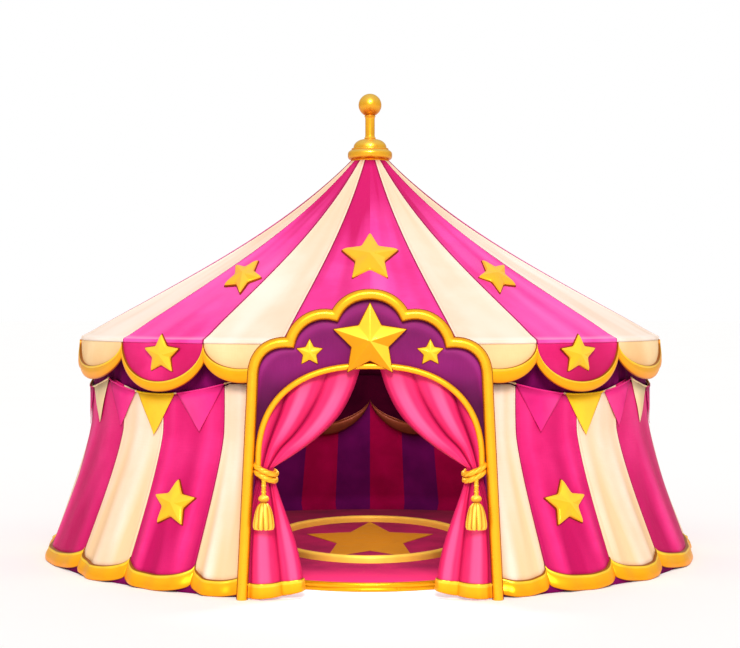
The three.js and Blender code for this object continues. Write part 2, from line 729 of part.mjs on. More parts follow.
function addFloor() {
  const inset = 1470;
  const legRoom = 1526;
  const legEnd = PORCH_BACK + GAP;
  const columns = 12;
  const nosing = 0.15 * THRESHOLD_DEPTH;
  const middleFront = -3950;
  const curve = 3e-4;
  const bow = (x) => middleFront + curve * x * x;
  const across = (column) => -inset + (2 * inset * column) / columns;
  const threshold = bent(columns, 1, (column, row, layer) => {
    const x = across(column);
    const front = bow(x) + (row === 0 ? 0 : nosing);
    const back = bow(x) + THRESHOLD_DEPTH;
    return [x, layer === 1 ? front : back, row * THRESHOLD_HEIGHT];
  });
  add("threshold", threshold, gold);

  const floorShape = new THREE.Shape();
  const start = Math.atan2(-Math.sqrt(FLOOR_RADIUS ** 2 - legRoom ** 2), legRoom);
  floorShape.moveTo(inset, legEnd);
  floorShape.lineTo(legRoom, legEnd);
  floorShape.absarc(0, 0, FLOOR_RADIUS, start, Math.PI - start, false);
  floorShape.lineTo(-legRoom, legEnd);
  floorShape.lineTo(-inset, legEnd);
  for (let i = 0; i <= columns; i += 1) {
    const x = across(i);
    floorShape.lineTo(x, bow(x) + THRESHOLD_DEPTH + GAP);
  }
  const floor = new THREE.ExtrudeGeometry(floorShape, {
    depth: FLOOR_DEPTH,
    bevelEnabled: false,
    curveSegments: 40,
  });
  add("floor", floor, crimsonCarpet);

  const ring = { across: 1480, deep: 2300, middle: 450, width: 110, height: 100 };
  const ringShape = new THREE.Shape();
  ringShape.absellipse(0, ring.middle, ring.across, ring.deep, 0, 2 * Math.PI);
  const hole = new THREE.Path();
  hole.absellipse(0, ring.middle, ring.across - ring.width, ring.deep - ring.width, 0, 2 * Math.PI);
  ringShape.holes.push(hole);
  const ringSolid = new THREE.ExtrudeGeometry(ringShape, {
    depth: ring.height,
    bevelEnabled: false,
    curveSegments: 24,
  });
  add("ring_curb", ringSolid.translate(0, 0, FLOOR_DEPTH + GAP), gold);

  const inlay = star(1, INLAY_DEPTH, INLAY_DEPTH - 1).rotateX(-Math.PI / 2);
  inlay.scale(1020, 2170, 1);
  add("floor_star", inlay.translate(0, ring.middle, FLOOR_DEPTH + GAP), gold);
}

addFinial();
addRoof();
addFrieze();
addValance();
addBunting();
addWall();
addHem();
addPelmet();
addPortal();
addStars();
addCurtains();
addFloor();

export default tent;
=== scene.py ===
"""The looks of a round circus tent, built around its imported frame. Sizes are in metres, +Z is up."""

import math

import bmesh
import bpy
from mathutils import Matrix, Vector, noise


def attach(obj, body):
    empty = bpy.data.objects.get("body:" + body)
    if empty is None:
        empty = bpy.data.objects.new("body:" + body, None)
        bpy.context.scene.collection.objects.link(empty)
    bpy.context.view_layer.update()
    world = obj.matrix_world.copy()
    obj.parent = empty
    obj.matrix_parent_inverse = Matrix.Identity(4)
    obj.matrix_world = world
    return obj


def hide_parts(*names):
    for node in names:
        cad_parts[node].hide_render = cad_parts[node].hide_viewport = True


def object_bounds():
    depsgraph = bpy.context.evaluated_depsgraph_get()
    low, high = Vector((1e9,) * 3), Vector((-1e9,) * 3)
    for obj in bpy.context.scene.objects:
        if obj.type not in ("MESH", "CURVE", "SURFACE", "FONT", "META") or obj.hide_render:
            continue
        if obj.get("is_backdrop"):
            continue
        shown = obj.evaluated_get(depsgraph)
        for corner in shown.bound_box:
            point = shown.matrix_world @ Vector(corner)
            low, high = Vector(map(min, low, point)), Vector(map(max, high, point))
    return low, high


bl_info = {
    "name": "Circus tent",
    "version": (1, 0, 0),
    "blender": (4, 5, 0),
    "location": "3D View > Sidebar > Tent",
    "description": "Builds the canvas, trim, portal, curtains and floor of a round circus tent",
    "category": "Object",
}

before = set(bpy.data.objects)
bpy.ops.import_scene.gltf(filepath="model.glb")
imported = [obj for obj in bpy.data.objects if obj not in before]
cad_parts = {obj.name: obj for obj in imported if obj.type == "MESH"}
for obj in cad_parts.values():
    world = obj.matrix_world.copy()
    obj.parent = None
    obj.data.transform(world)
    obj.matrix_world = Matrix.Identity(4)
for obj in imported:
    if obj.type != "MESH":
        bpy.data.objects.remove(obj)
CAD_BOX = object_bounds()

# The tent's plan, as in the part's source
EAVE_RADIUS = 4.17
EAVE_HEIGHT = 3.147
CROWN_RADIUS = 0.29
ROOF_RISE = 2.543
ROOF_SAG = 0.16
WALL_HEAD_RADIUS = 4.05
WALL_FOOT_RADIUS = 4.67
FLARE_HEIGHT = 1.95
FLARE_POWER = 1.25
WALL_TOP = 2.42
FLOOR_RADIUS = 4.42
FLOOR_TOP = 0.0403
PORTAL_BACK = -4.46
FRAME_WIDTH = 0.125
HEADER_DEPTH = 0.025
POST_FOOT = 1.5535
POST_SPLAY = 0.04856
POST_HEIGHT = 2.743
SPRINGING = 1.66
ARCH_HALF_WIDTH = 1.356
ARCH_RISE = 1.173
ARCH_POWER = 2.4
PORCH_HALF_WIDTH = 1.44
PORCH_RISE = 1.37
PORCH_BACK = -3.72
RING_MIDDLE = 0.45

# Seams in degrees from the doorway, on each side
ROOF_SEAMS = (15, 30, 51, 79, 101, 129, 150, 165, 195)
# How far each scallop hangs below the eave, from the doorway to the rear
SCALLOP_DROPS = (0.367, 0.555, 0.402, 0.39, 0.402, 0.555, 0.367, 0.555)
WALL_SEAMS = (28.3, 42.3, 56.6, 82, 98, 123.4, 137.7, 151.7, 165.9, 194.1)
# How far each of the wall's seams leans to the back at its foot, and to the front at its head
SEAM_LEAN = {28.3: (0.8, 1.3), 42.3: (1.0, 0.8), 56.6: (1.4, 2.3), 82: (2.0, 1.0)}

# The flags hang in nine equal swags, from and to this angle beside the doorway
FIRST_FLAG = 26.6
SWAGS = 9
SWAG = (360 - 2 * FIRST_FLAG) / SWAGS
STRING_TOP = 2.585
STRING_SAG = 0.165
STRING_GAP = 0.023
FLAG_LENGTH = 0.54

# Distances from a seam, where a gore's first and last columns lie
SEAM_COLUMNS = (0.0, 0.004, 0.010, 0.020, 0.030, 0.040, 0.065)
# Corners of a mesh that lie this close are one
WELD = 1e-5

# The camera: the photograph's width and focal length in pixels, its eye and its small shift
PHOTO_WIDTH = 740
PHOTO_FOCAL = 1707
PHOTO_SHIFT = -17.2
PHOTO_EYE = (0, -25.2, 3.55)


def linear(code):
    """The linear colour of an sRGB hex value, with its alpha."""
    parts = [int(code[i : i + 2], 16) / 255 for i in (0, 2, 4)]
    return [c / 12.92 if c <= 0.04045 else ((c + 0.055) / 1.055) ** 2.4 for c in parts] + [1.0]


def smooth(low, high, value):
    """0 below low, 1 above high, and a smooth step in between."""
    share = min(1.0, max(0.0, (value - low) / (high - low)))
    return share * share * (3 - 2 * share)


def mix(a, b, share):
    """A value between two, by its share of the way."""
    return a + (b - a) * share


def cosine(u):
    """Spreads columns so that they lie close together at both ends."""
    return (1 - math.cos(math.pi * u)) / 2


def hump(share, power=1.0):
    """0 at both ends and 1 in the middle."""
    return math.sin(math.pi * share) ** power if 0 < share < 1 else 0.0


def fullness(share):
    """How full a half round scallop is: 0 at its cusps, 1 in its middle."""
    return math.sqrt(max(0.0, 1 - (2 * share - 1) ** 2))


def polar(degrees, radius, height):
    """A point at an angle from the doorway."""
    angle = math.radians(degrees)
    return Vector((radius * math.sin(angle), -radius * math.cos(angle), height))


def roof_height(radius):
    """The roof's height at a radius: a cone that sags between the eave and the crown."""
    share = (EAVE_RADIUS - radius) / (EAVE_RADIUS - CROWN_RADIUS)
    return EAVE_HEIGHT + ROOF_RISE * ((1 - ROOF_SAG) * share + ROOF_SAG * share**4)


def wall_radius(height):
    """The wall's radius at a height: upright at its head and flared at its foot."""
    flare = max(0.0, (FLARE_HEIGHT - height) / FLARE_HEIGHT) ** FLARE_POWER
    return WALL_HEAD_RADIUS + (WALL_FOOT_RADIUS - WALL_HEAD_RADIUS) * flare


def door_angle(height, radius):
    """The angle at which the wall meets the porch."""
    half = PORCH_HALF_WIDTH + POST_SPLAY * max(0.0, SPRINGING - height) + 0.0012
    return math.degrees(math.asin(half / radius))


def arch_point(turn, half_width, rise):
    """A point on a full arch above its springing, from 0 at its right foot."""
    cos = math.cos(turn)
    across_share = math.copysign(abs(cos) ** (2 / ARCH_POWER), cos)
    up = max(0.0, math.sin(turn)) ** (2 / ARCH_POWER)
    return half_width * across_share, SPRINGING + rise * up


def spline(spots, i, t):
    """A point on the smooth line through some spots, from spot i on."""
    start, end = spots[i], spots[i + 1]
    first = (end - spots[max(0, i - 1)]) / 2
    second = (spots[min(len(spots) - 1, i + 2)] - start) / 2
    return (
        start * (2 * t**3 - 3 * t**2 + 1)
        + first * (t**3 - 2 * t**2 + t)
        + end * (3 * t**2 - 2 * t**3)
        + second * (t**3 - t**2)
    )


def along(points, share):
    """A point on the smooth line through some points, by its share of their number."""
    last = len(points) - 1
    i = min(last - 1, int(share * last))
    return spline([Vector(p) for p in points], i, share * last - i)


# Meshes


def patch(bm, columns, rows, place, material=0):
    """A grid whose corners are placed by a function that gives a point, its UV in metres and its shade.

    The shade is painted shade and highlight, kept in the fold attribute: it runs from -1 in a fold's valley to 1 on
    its crest.
    """
    layer = bm.loops.layers.uv.verify()
    shade = bm.verts.layers.float.get("fold") or bm.verts.layers.float.new("fold")
    made = bmesh.ops.create_grid(bm, x_segments=columns, y_segments=rows, size=0.5)
    spots = {}
    for vert in made["verts"]:
        vert.co, spots[vert], *fold = place(vert.co.x + 0.5, vert.co.y + 0.5)
        vert[shade] = fold[0] if fold else 0.0
    faces = {face for vert in made["verts"] for face in vert.link_faces}
    for face in faces:
        face.material_index = material
        face.smooth = True
        for loop in face.loops:
            loop[layer].uv = spots[loop.vert]
    return made["verts"]


def cap(bm):
    """Closes every open edge of a mesh."""
    bmesh.ops.holes_fill(bm, edges=[e for e in bm.edges if e.is_boundary], sides=0)


def outward(bm):
    """Welds a mesh's doubles and turns its faces outwards."""
    bmesh.ops.remove_doubles(bm, verts=bm.verts, dist=WELD)
    bmesh.ops.recalc_face_normals(bm, faces=bm.faces)


def linked(name, mesh, looks):
    """An object of a finished mesh."""
    for look in looks.split():
        mesh.materials.append(finish(look))
    piece = bpy.data.objects.new(name, mesh)
    bpy.context.scene.collection.objects.link(piece)
    return piece


def settled(piece, nodes=""):
    """Ties a finished piece to the frame, in place of the nodes that it shows."""
    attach(piece, "root")
    if nodes:
        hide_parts(*nodes.split())
    return piece


def finished(bm, name, looks, sharp=40.0):
    """Closes seams and poles, and makes the object."""
    bmesh.ops.remove_doubles(bm, verts=bm.verts, dist=WELD)
    bmesh.ops.dissolve_degenerate(bm, dist=WELD / 10, edges=bm.edges)
    mesh = bpy.data.meshes.new(name)
    bm.to_mesh(mesh)
    bm.free()
    mesh.set_sharp_from_angle(angle=math.radians(sharp))
    return linked(name, mesh, looks)


def solid(bm, name, looks, nodes="", sharp=40.0):
    """A piece of wood, metal or padding."""
    return settled(finished(bm, name, looks, sharp), nodes)


def cloth(bm, name, looks, nodes, thickness, sharp=60.0, offset=-1.0, lining=0):
    """A piece of cloth, given its thickness, with a lining that many finishes further on inside."""
    piece = finished(bm, name, looks, sharp)
    thicken = piece.modifiers.new("Thickness", "SOLIDIFY")
    thicken.thickness = thickness
    thicken.offset = offset
    thicken.material_offset = lining
    thicken.use_quality_normals = True
    return settled(piece, nodes)


def sweep(bm, path, section, place, closed=False, bright=0.0):
    """Moves a closed section along a flat path, with mitred corners. Place turns across, up and out into a point.

    With painted shading, the section gets a painted highlight where it stands out most and painted shade at its
    sides.
    """
    spots = [Vector(p) for p in path]
    count = len(spots)
    frames, run, length = [], [], 0.0
    for i, spot in enumerate(spots):
        before = spots[i - 1] if closed or i else spot
        after = spots[(i + 1) % count] if closed or i < count - 1 else spot
        into = (spot - before) if before != spot else (after - spot)
        out = (after - spot) if after != spot else into
        first = Vector((-into.y, into.x)).normalized()
        second = Vector((-out.y, out.x)).normalized()
        mitre = (first + second).normalized()
        frames.append(mitre / max(0.3, mitre.dot(second)))
        run.append(length)
        length += (after - spot).length
    run.append(length)
    last = count if closed else count - 1
    around = len(section)
    girth = [0.0]
    high = max(out for _, out in section)
    for j in range(around):
        girth.append(girth[-1] + (Vector(section[(j + 1) % around]) - Vector(section[j])).length)

    def spot_of(u, v):
        i, j = round(u * last), round(v * around)
        side, out = section[j % around]
        at = spots[i % count] + frames[i % count] * side
        return place(at.x, at.y, out), (run[i], girth[j]), bright * (1.7 * max(0.0, out / high) - 0.9)

    verts = patch(bm, last, around, spot_of)
    if not closed:
        bmesh.ops.remove_doubles(bm, verts=verts, dist=WELD / 10)
        cap(bm)


def turned(bm, profile, segments=48):
    """A turned solid from a profile of radius and height, from the bottom up, with painted light from above: a
    painted highlight where it faces up and painted shade where it faces down.
    """
    count = len(profile) - 1
    run = [0.0]
    for a, b in zip(profile, profile[1:]):
        run.append(run[-1] + math.dist(a, b))

    def spot(u, v):
        i = round(v * count)
        radius, height = profile[i]
        before, after = profile[max(0, i - 1)], profile[min(count, i + 1)]
        upward = (before[0] - after[0]) / max(1e-6, math.dist(before, after))
        return polar(360 * u, radius, height), (u * math.tau * 0.2, run[i]), 0.9 * upward - 0.1

    patch(bm, segments, count, spot)


def rounded(centre, radius, start, end, steps=6):
    """Points on an arc of a profile, angles in degrees."""
    turns = [math.radians(mix(start, end, i / steps)) for i in range(steps + 1)]
    return [(centre[0] + radius * math.cos(t), centre[1] + radius * math.sin(t)) for t in turns]


def bulge(radius, low, height, steps):
    """The profile of a ball that is flattened to a height, from its low pole up."""
    half = height / 2
    turns = [math.pi * i / steps for i in range(1, steps)]
    middle = [(radius * math.sin(t), low + half - half * math.cos(t)) for t in turns]
    return [(0.0, low), *middle, (0.0, low + height)]


def rope(name, paths, radius, look, nodes="", sides=4, cyclic=False):
    """Round cords along lists of points, as one piece."""
    curve = bpy.data.curves.new(name, "CURVE")
    curve.dimensions = "3D"
    curve.bevel_depth = radius
    curve.bevel_resolution = sides
    curve.use_fill_caps = not cyclic
    for points in paths:
        line = curve.splines.new("POLY")
        line.points.add(len(points) - 1)
        for place, point in zip(line.points, points):
            place.co = (*point, 1.0)
        line.use_cyclic_u = cyclic
        line.use_smooth = True
    maker = bpy.data.objects.new(name, curve)
    mesh = bpy.data.meshes.new_from_object(maker)
    bpy.data.objects.remove(maker)
    mesh.name = name
    mesh.materials.clear()
    return settled(linked(name, mesh, look), nodes)


def twisted(points, strands, radius, pitch, cyclic=False):
    """The centre lines of strands twisted round a line of points."""
    spots = [Vector(p) for p in points]
    count = len(spots)
    length = sum((b - a).length for a, b in zip(spots, spots[1:]))
    if cyclic:
        length += (spots[0] - spots[-1]).length
    turns = max(1, round(length / pitch))
    lines = [[] for _ in range(strands)]
    for i, spot in enumerate(spots):
        before = spots[i - 1] if cyclic or i else spot
        after = spots[(i + 1) % count] if cyclic or i < count - 1 else spot
        ahead = (after - before).normalized()
        side = ahead.cross(Vector((0.31, 0.17, 0.93))).normalized()
        up = side.cross(ahead)
        share = i / count if cyclic else i / (count - 1)
        for k in range(strands):
            turn = math.tau * (turns * share + k / strands)
            lines[k].append(spot + radius * (math.cos(turn) * side + math.sin(turn) * up))
    return lines


# Materials

# For each kind of node: the inputs that are given, in their order, the output, and its settings
NODES = {
    "Attribute": ((), "Fac", {}),
    "Bump": (("Height", "Strength", "Distance"), 0, {}),
    "LightPath": ((), "Is Camera Ray", {}),
    "MapRange": (("Value", "From Min", "From Max", "To Min", "To Max"), 0, {}),
    "Mapping": (("Vector", "Scale"), 0, {}),
    "Math": ((0, 1, 2), 0, {"operation": "MULTIPLY"}),
    "Mix": ((0, 6, 7), 2, {"data_type": "RGBA"}),
    "SeparateXYZ": ((0,), 0, {}),
    "TexCoord": ((), "Object", {}),
    "TexNoise": (("Vector", "Scale", "Detail"), 0, {}),
    "TexVoronoi": (("Vector", "Scale"), "Distance", {}),
    "TexWave": (("Vector", "Scale", "Distortion", "Detail"), 1, {}),
}


def add(tree, kind, *values, out=None, **settings):
    """Adds a node with its settings, gives its inputs values or links, and returns its output."""
    inputs, output, usual = NODES[kind]
    node = tree.nodes.new("ShaderNode" + kind)
    for key, value in {**usual, **settings}.items():
        setattr(node, key, value)
    for key, value in zip(inputs, values):
        if isinstance(value, bpy.types.NodeSocket):
            tree.links.new(value, node.inputs[key])
        else:
            node.inputs[key].default_value = value
    return node.outputs[output if out is None else out]


def surface(name, **sockets):
    """A material with the values of its shader's own sockets."""
    material = bpy.data.materials.new(name)
    material.use_nodes = True
    shader = material.node_tree.nodes["Principled BSDF"]
    for key, value in sockets.items():
        shader.inputs[key.replace("_", " ")].default_value = value
    return material, material.node_tree


def dressed(material, tone, relief=None, rough=None):
    """Gives a material its colour, its relief and, where it varies, its roughness."""
    tree = material.node_tree
    for key, socket in (("Base Color", tone), ("Normal", relief), ("Roughness", rough)):
        if socket is not None:
            tree.links.new(socket, tree.nodes["Principled BSDF"].inputs[key])
    return material


def overlay(tree, tone, colour, pattern, *reach):
    """Lays a colour over a tone by a pattern. Reach is the pattern's range, then the strengths at its ends."""
    return add(tree, "Mix", add(tree, "MapRange", pattern, *reach), tone, colour)


def folded(tree, tone, deep, light):
    """Paints shade into a colour in the valleys of the folds and a highlight on their crests, by the mesh's fold
    attribute.
    """
    fold = add(tree, "Attribute", attribute_name="fold")
    return overlay(tree, overlay(tree, tone, deep, fold, 0.0, -1.0), light, fold, 0.0, 1.0)


def mixed(colour, white):
    """A colour mixed with white."""
    return [mix(part, 1.0, white) for part in colour[:3]] + [1.0]


def canvas(name, dye, shade, light, line, line_width, seam_highlight):
    """Dyed cotton canvas with a light proofing: woven and sewn, a soft gloss, with painted shade in its folds and
    painted highlights on their crests, along the eave's fold and beside the seams.

    Its threads, 1 mm apart, are too fine to show, so the slubs are drawn about 20 mm apart.
    The stitches, really 6 mm long, are drawn 45 mm long.
    """
    material, tree = surface(
        name, Roughness=0.6, Sheen_Weight=0.01, Sheen_Roughness=0.4, Sheen_Tint=light, Specular_IOR_Level=0.08
    )
    uv = add(tree, "TexCoord", out="UV")
    gap, down = add(tree, "SeparateXYZ", uv), add(tree, "SeparateXYZ", uv, out=1)
    # Uneven dye, over about 0.7 m
    cloudy = add(tree, "TexNoise", add(tree, "TexCoord"), 1.4, 3.0)
    tone = overlay(tree, dye, shade, cloudy, 0.3, 0.6, 0.35, 0.0)
    tone = overlay(tree, tone, light, cloudy, 0.45, 0.8, 0.0, 0.35)
    # Slubs of the weave, along and across
    warp = add(tree, "TexNoise", add(tree, "Mapping", uv, (52.0, 7.0, 1.0)), 1.0, 2.0)
    weft = add(tree, "TexNoise", add(tree, "Mapping", uv, (7.0, 52.0, 1.0)), 1.0, 2.0)
    weave = add(tree, "Math", warp, weft, operation="ADD")
    tone = overlay(tree, tone, shade, weave, 0.75, 1.2, 0.14, 0.0)
    # Painted shade in the valleys of the folds and a painted highlight on their crests
    tone = folded(tree, tone, shade, light)
    # A painted highlight along the fold of the eave, and another on the ridge beside a seam
    above, below = add(tree, "MapRange", down, 0.045, 0.062), add(tree, "MapRange", down, 0.085, 0.16, 0.35, 0.0)
    tone = add(tree, "Mix", add(tree, "Math", above, below), tone, mixed(light, 0.4))
    tone = overlay(tree, tone, mixed(light, 0.7), gap, 0.010, 0.036, seam_highlight, 0.0)
    # Two rows of stitches on each side of a seam
    dash = add(tree, "Math", add(tree, "Math", down, 22.0), operation="FRACT")
    dash = add(tree, "Math", dash, 0.64, operation="LESS_THAN")
    rows = [add(tree, "Math", gap, at, 0.003, operation="COMPARE") for at in (0.020, 0.036)]
    stitch = add(tree, "Math", dash, add(tree, "Math", *rows, operation="ADD"))
    tone = overlay(tree, tone, shade, stitch, 0.0, 1.0, 0.0, 0.25)
    # The dark line of the seam itself
    tone = overlay(tree, tone, line, gap, line_width * 0.6, line_width, 0.9, 0.0)
    raised = add(tree, "Math", add(tree, "Math", weave, 0.0016), add(tree, "Math", stitch, 0.003), operation="ADD")
    rough = add(tree, "MapRange", warp, 0.3, 0.7, 0.48, 0.62)
    return dressed(material, tone, add(tree, "Bump", raised, 0.5, 1.0), rough)


def plain_cloth(name, dye, shade, roughness=0.8, sheen=0.03, slub=60.0):
    """Plain woven cloth, matt and soft: the dye is uneven and the slubs of its weave show a little, with painted
    shade in the valleys of its folds and a painted highlight on their crests.
    """
    material, tree = surface(
        name,
        Roughness=roughness,
        Sheen_Weight=sheen,
        Sheen_Roughness=0.5,
        Sheen_Tint=dye,
        Specular_IOR_Level=2.5 * sheen,
        Specular_Tint=dye,
    )
    tone = overlay(tree, shade, dye, add(tree, "TexNoise", add(tree, "TexCoord"), 2.4, 4.0), 0.32, 0.7)
    warp = add(tree, "Mapping", add(tree, "TexCoord", out="UV"), (slub, slub / 6, 1.0))
    slubs = add(tree, "TexNoise", warp, 1.0, 3.0)
    tone = overlay(tree, tone, shade, slubs, 0.35, 0.65, 0.16, 0.0)
    tone = folded(tree, tone, [part * 0.5 for part in shade[:3]] + [1.0], mixed(dye, 0.06))
    return dressed(material, tone, add(tree, "Bump", slubs, 0.35, 0.004))


def satin(name, dye, shade, light, deep, roughness, gloss):
    """Woven satin: smooth and glossy, with fine lines down the cloth, a pale sheen at its turned edges, painted
    shade in the valleys of its folds and a painted highlight on their crests.
    """
    material, tree = surface(
        name, Roughness=roughness, Sheen_Weight=0.02, Sheen_Roughness=0.3, Sheen_Tint=light, Specular_IOR_Level=gloss
    )
    tone = overlay(tree, shade, dye, add(tree, "TexNoise", add(tree, "TexCoord"), 2.0, 2.0), 0.3, 0.7)
    # Floats of the satin weave, under 1 mm in life, drawn 12 mm apart
    floats = add(tree, "Mapping", add(tree, "TexCoord", out="UV"), (85.0, 4.0, 1.0))
    lines = add(tree, "TexNoise", floats, 1.0, 2.0)
    tone = overlay(tree, tone, light, lines, 0.35, 0.7, 0.0, 0.1)
    tone = folded(tree, tone, deep, light)
    rough = add(tree, "MapRange", lines, 0.3, 0.7, roughness - 0.06, roughness + 0.08)
    return dressed(material, tone, add(tree, "Bump", lines, 0.25, 0.003), rough)


def gilding(name, gold, shade, painted_shade_tone, crest, metallic, roughness, coat=0.3, worn=0.0, brushed=0.04):
    """Gold paint or leaf under varnish: warm, a little uneven, with a clear gloss on top, and painted shade and a
    painted highlight where the mesh's fold attribute gives them.
    """
    material, tree = surface(
        name, Metallic=metallic, Roughness=roughness, Coat_Weight=coat, Coat_Roughness=0.12, Specular_Tint=gold
    )
    leaf = add(tree, "TexNoise", add(tree, "TexCoord"), 7.0, 2.0)
    tone = overlay(tree, gold, shade, leaf, 0.3, 0.62, 0.2, 0.0)
    # Painted shade and painted highlight, by the fold attribute
    tone = folded(tree, tone, painted_shade_tone, crest)
    # Brush marks, 8 mm apart
    marks = add(tree, "TexNoise", add(tree, "TexCoord"), 120.0, 2.0)
    if worn:
        tone = overlay(tree, tone, shade, marks, 0.55, 0.75, 0.0, worn)
    rough = add(tree, "MapRange", leaf, 0.3, 0.7, roughness - 0.05, roughness + 0.09)
    return dressed(material, tone, add(tree, "Bump", marks, brushed, 0.002), rough)


def gold_band(name, gold, light, shade, edge):
    """Padded gold lame sewn along an edge: a painted highlight on its lip, painted shade deeper below, and dark
    lines of painted shade along its top and its foot.

    Its UV's second number runs from 0 at the lip to 1 at the foot.
    """
    material, tree = surface(
        name, Metallic=0.4, Roughness=0.36, Coat_Weight=0.08, Coat_Roughness=0.2, Specular_Tint=gold
    )
    uv = add(tree, "TexCoord", out="UV")
    down = add(tree, "SeparateXYZ", uv, out=1)
    leaf = add(tree, "TexNoise", add(tree, "TexCoord"), 5.0, 4.0)
    # Painted shade deeper towards the foot, a painted highlight on the lip and dark lines of painted shade at both
    # edges
    tone = overlay(tree, gold, shade, down, 0.25, 0.95)
    tone = overlay(tree, tone, light, down, 0.19, 0.24, 1.0, 0.0)
    tone = overlay(tree, tone, shade, leaf, 0.35, 0.7, 0.22, 0.0)
    tone = overlay(tree, tone, edge, down, 0.015, 0.05, 0.9, 0.0)
    tone = overlay(tree, tone, edge, down, 0.93, 0.985, 0.0, 0.75)
    threads = add(tree, "TexNoise", add(tree, "Mapping", uv, (70.0, 2.0, 1.0)), 1.0, 2.0)
    rough = add(tree, "MapRange", leaf, 0.3, 0.7, 0.28, 0.42)
    return dressed(material, tone, add(tree, "Bump", threads, 0.2, 0.003), rough)


def carpet(name, pile, shade, light):
    """Short pile wool carpet: quite matt, tufts 6 mm apart drawn 25 mm apart, with trodden patches."""
    material, tree = surface(name, Roughness=0.92, Sheen_Weight=0.02, Sheen_Roughness=0.6, Specular_IOR_Level=0.1)
    place = add(tree, "TexCoord")
    tone = overlay(tree, shade, pile, add(tree, "TexNoise", place, 1.8, 3.0), 0.35, 0.7)
    tufts = add(tree, "TexVoronoi", place, 40.0)
    tone = overlay(tree, tone, shade, tufts, 0.2, 0.8, 0.0, 0.35)
    # Painted light: the front of the floor, where daylight falls in at the doorway, is painted a paler pink
    tone = overlay(tree, tone, light, add(tree, "SeparateXYZ", place, out=1), -2.2, -3.4)
    return dressed(material, tone, add(tree, "Bump", tufts, 0.5, 0.006, invert=True))


def boards(name, paint, shade):
    """Floor paint on pine boards: satin, with a joint every 140 mm and worn a little paler between."""
    material, tree = surface(name, Roughness=0.5, Coat_Weight=0.1)
    place = add(tree, "TexCoord")
    joint = add(tree, "Math", add(tree, "Math", add(tree, "SeparateXYZ", place), 1 / 0.14), operation="FRACT")
    grain = add(tree, "TexNoise", add(tree, "Mapping", place, (60.0, 3.0, 3.0)), 1.0, 3.0)
    tone = overlay(tree, paint, shade, grain, 0.3, 0.7)
    tone = overlay(tree, tone, shade, joint, 0.0, 0.04, 0.9, 0.0)
    return dressed(material, tone, add(tree, "Bump", grain, 0.3, 0.002))


def gold_thread(name, gold, shade, painted_shade_tone, crest):
    """Twisted gold thread over a cotton core: soft gloss, the twist running round the cord, and painted shade and a
    painted highlight where the mesh's fold attribute gives them.
    """
    material, tree = surface(name, Metallic=0.3, Roughness=0.4, Sheen_Weight=0.03, Sheen_Roughness=0.4)
    twist = add(tree, "TexWave", add(tree, "TexCoord"), 26.0, 1.5, 1.0, bands_direction="DIAGONAL")
    tone = overlay(tree, gold, shade, twist, 0.2, 0.8, 0.35, 0.0)
    tone = folded(tree, tone, painted_shade_tone, crest)
    return dressed(material, tone, add(tree, "Bump", twist, 0.4, 0.004))


def floor_paint(name, tone, pale):
    """Matt floor paint, a very little uneven."""
    material, tree = surface(name, Roughness=0.95, Specular_IOR_Level=0.1)
    cloudy = add(tree, "TexNoise", add(tree, "TexCoord"), 0.2, 2.0)
    return dressed(material, overlay(tree, tone, pale, cloudy, 0.3, 0.7))


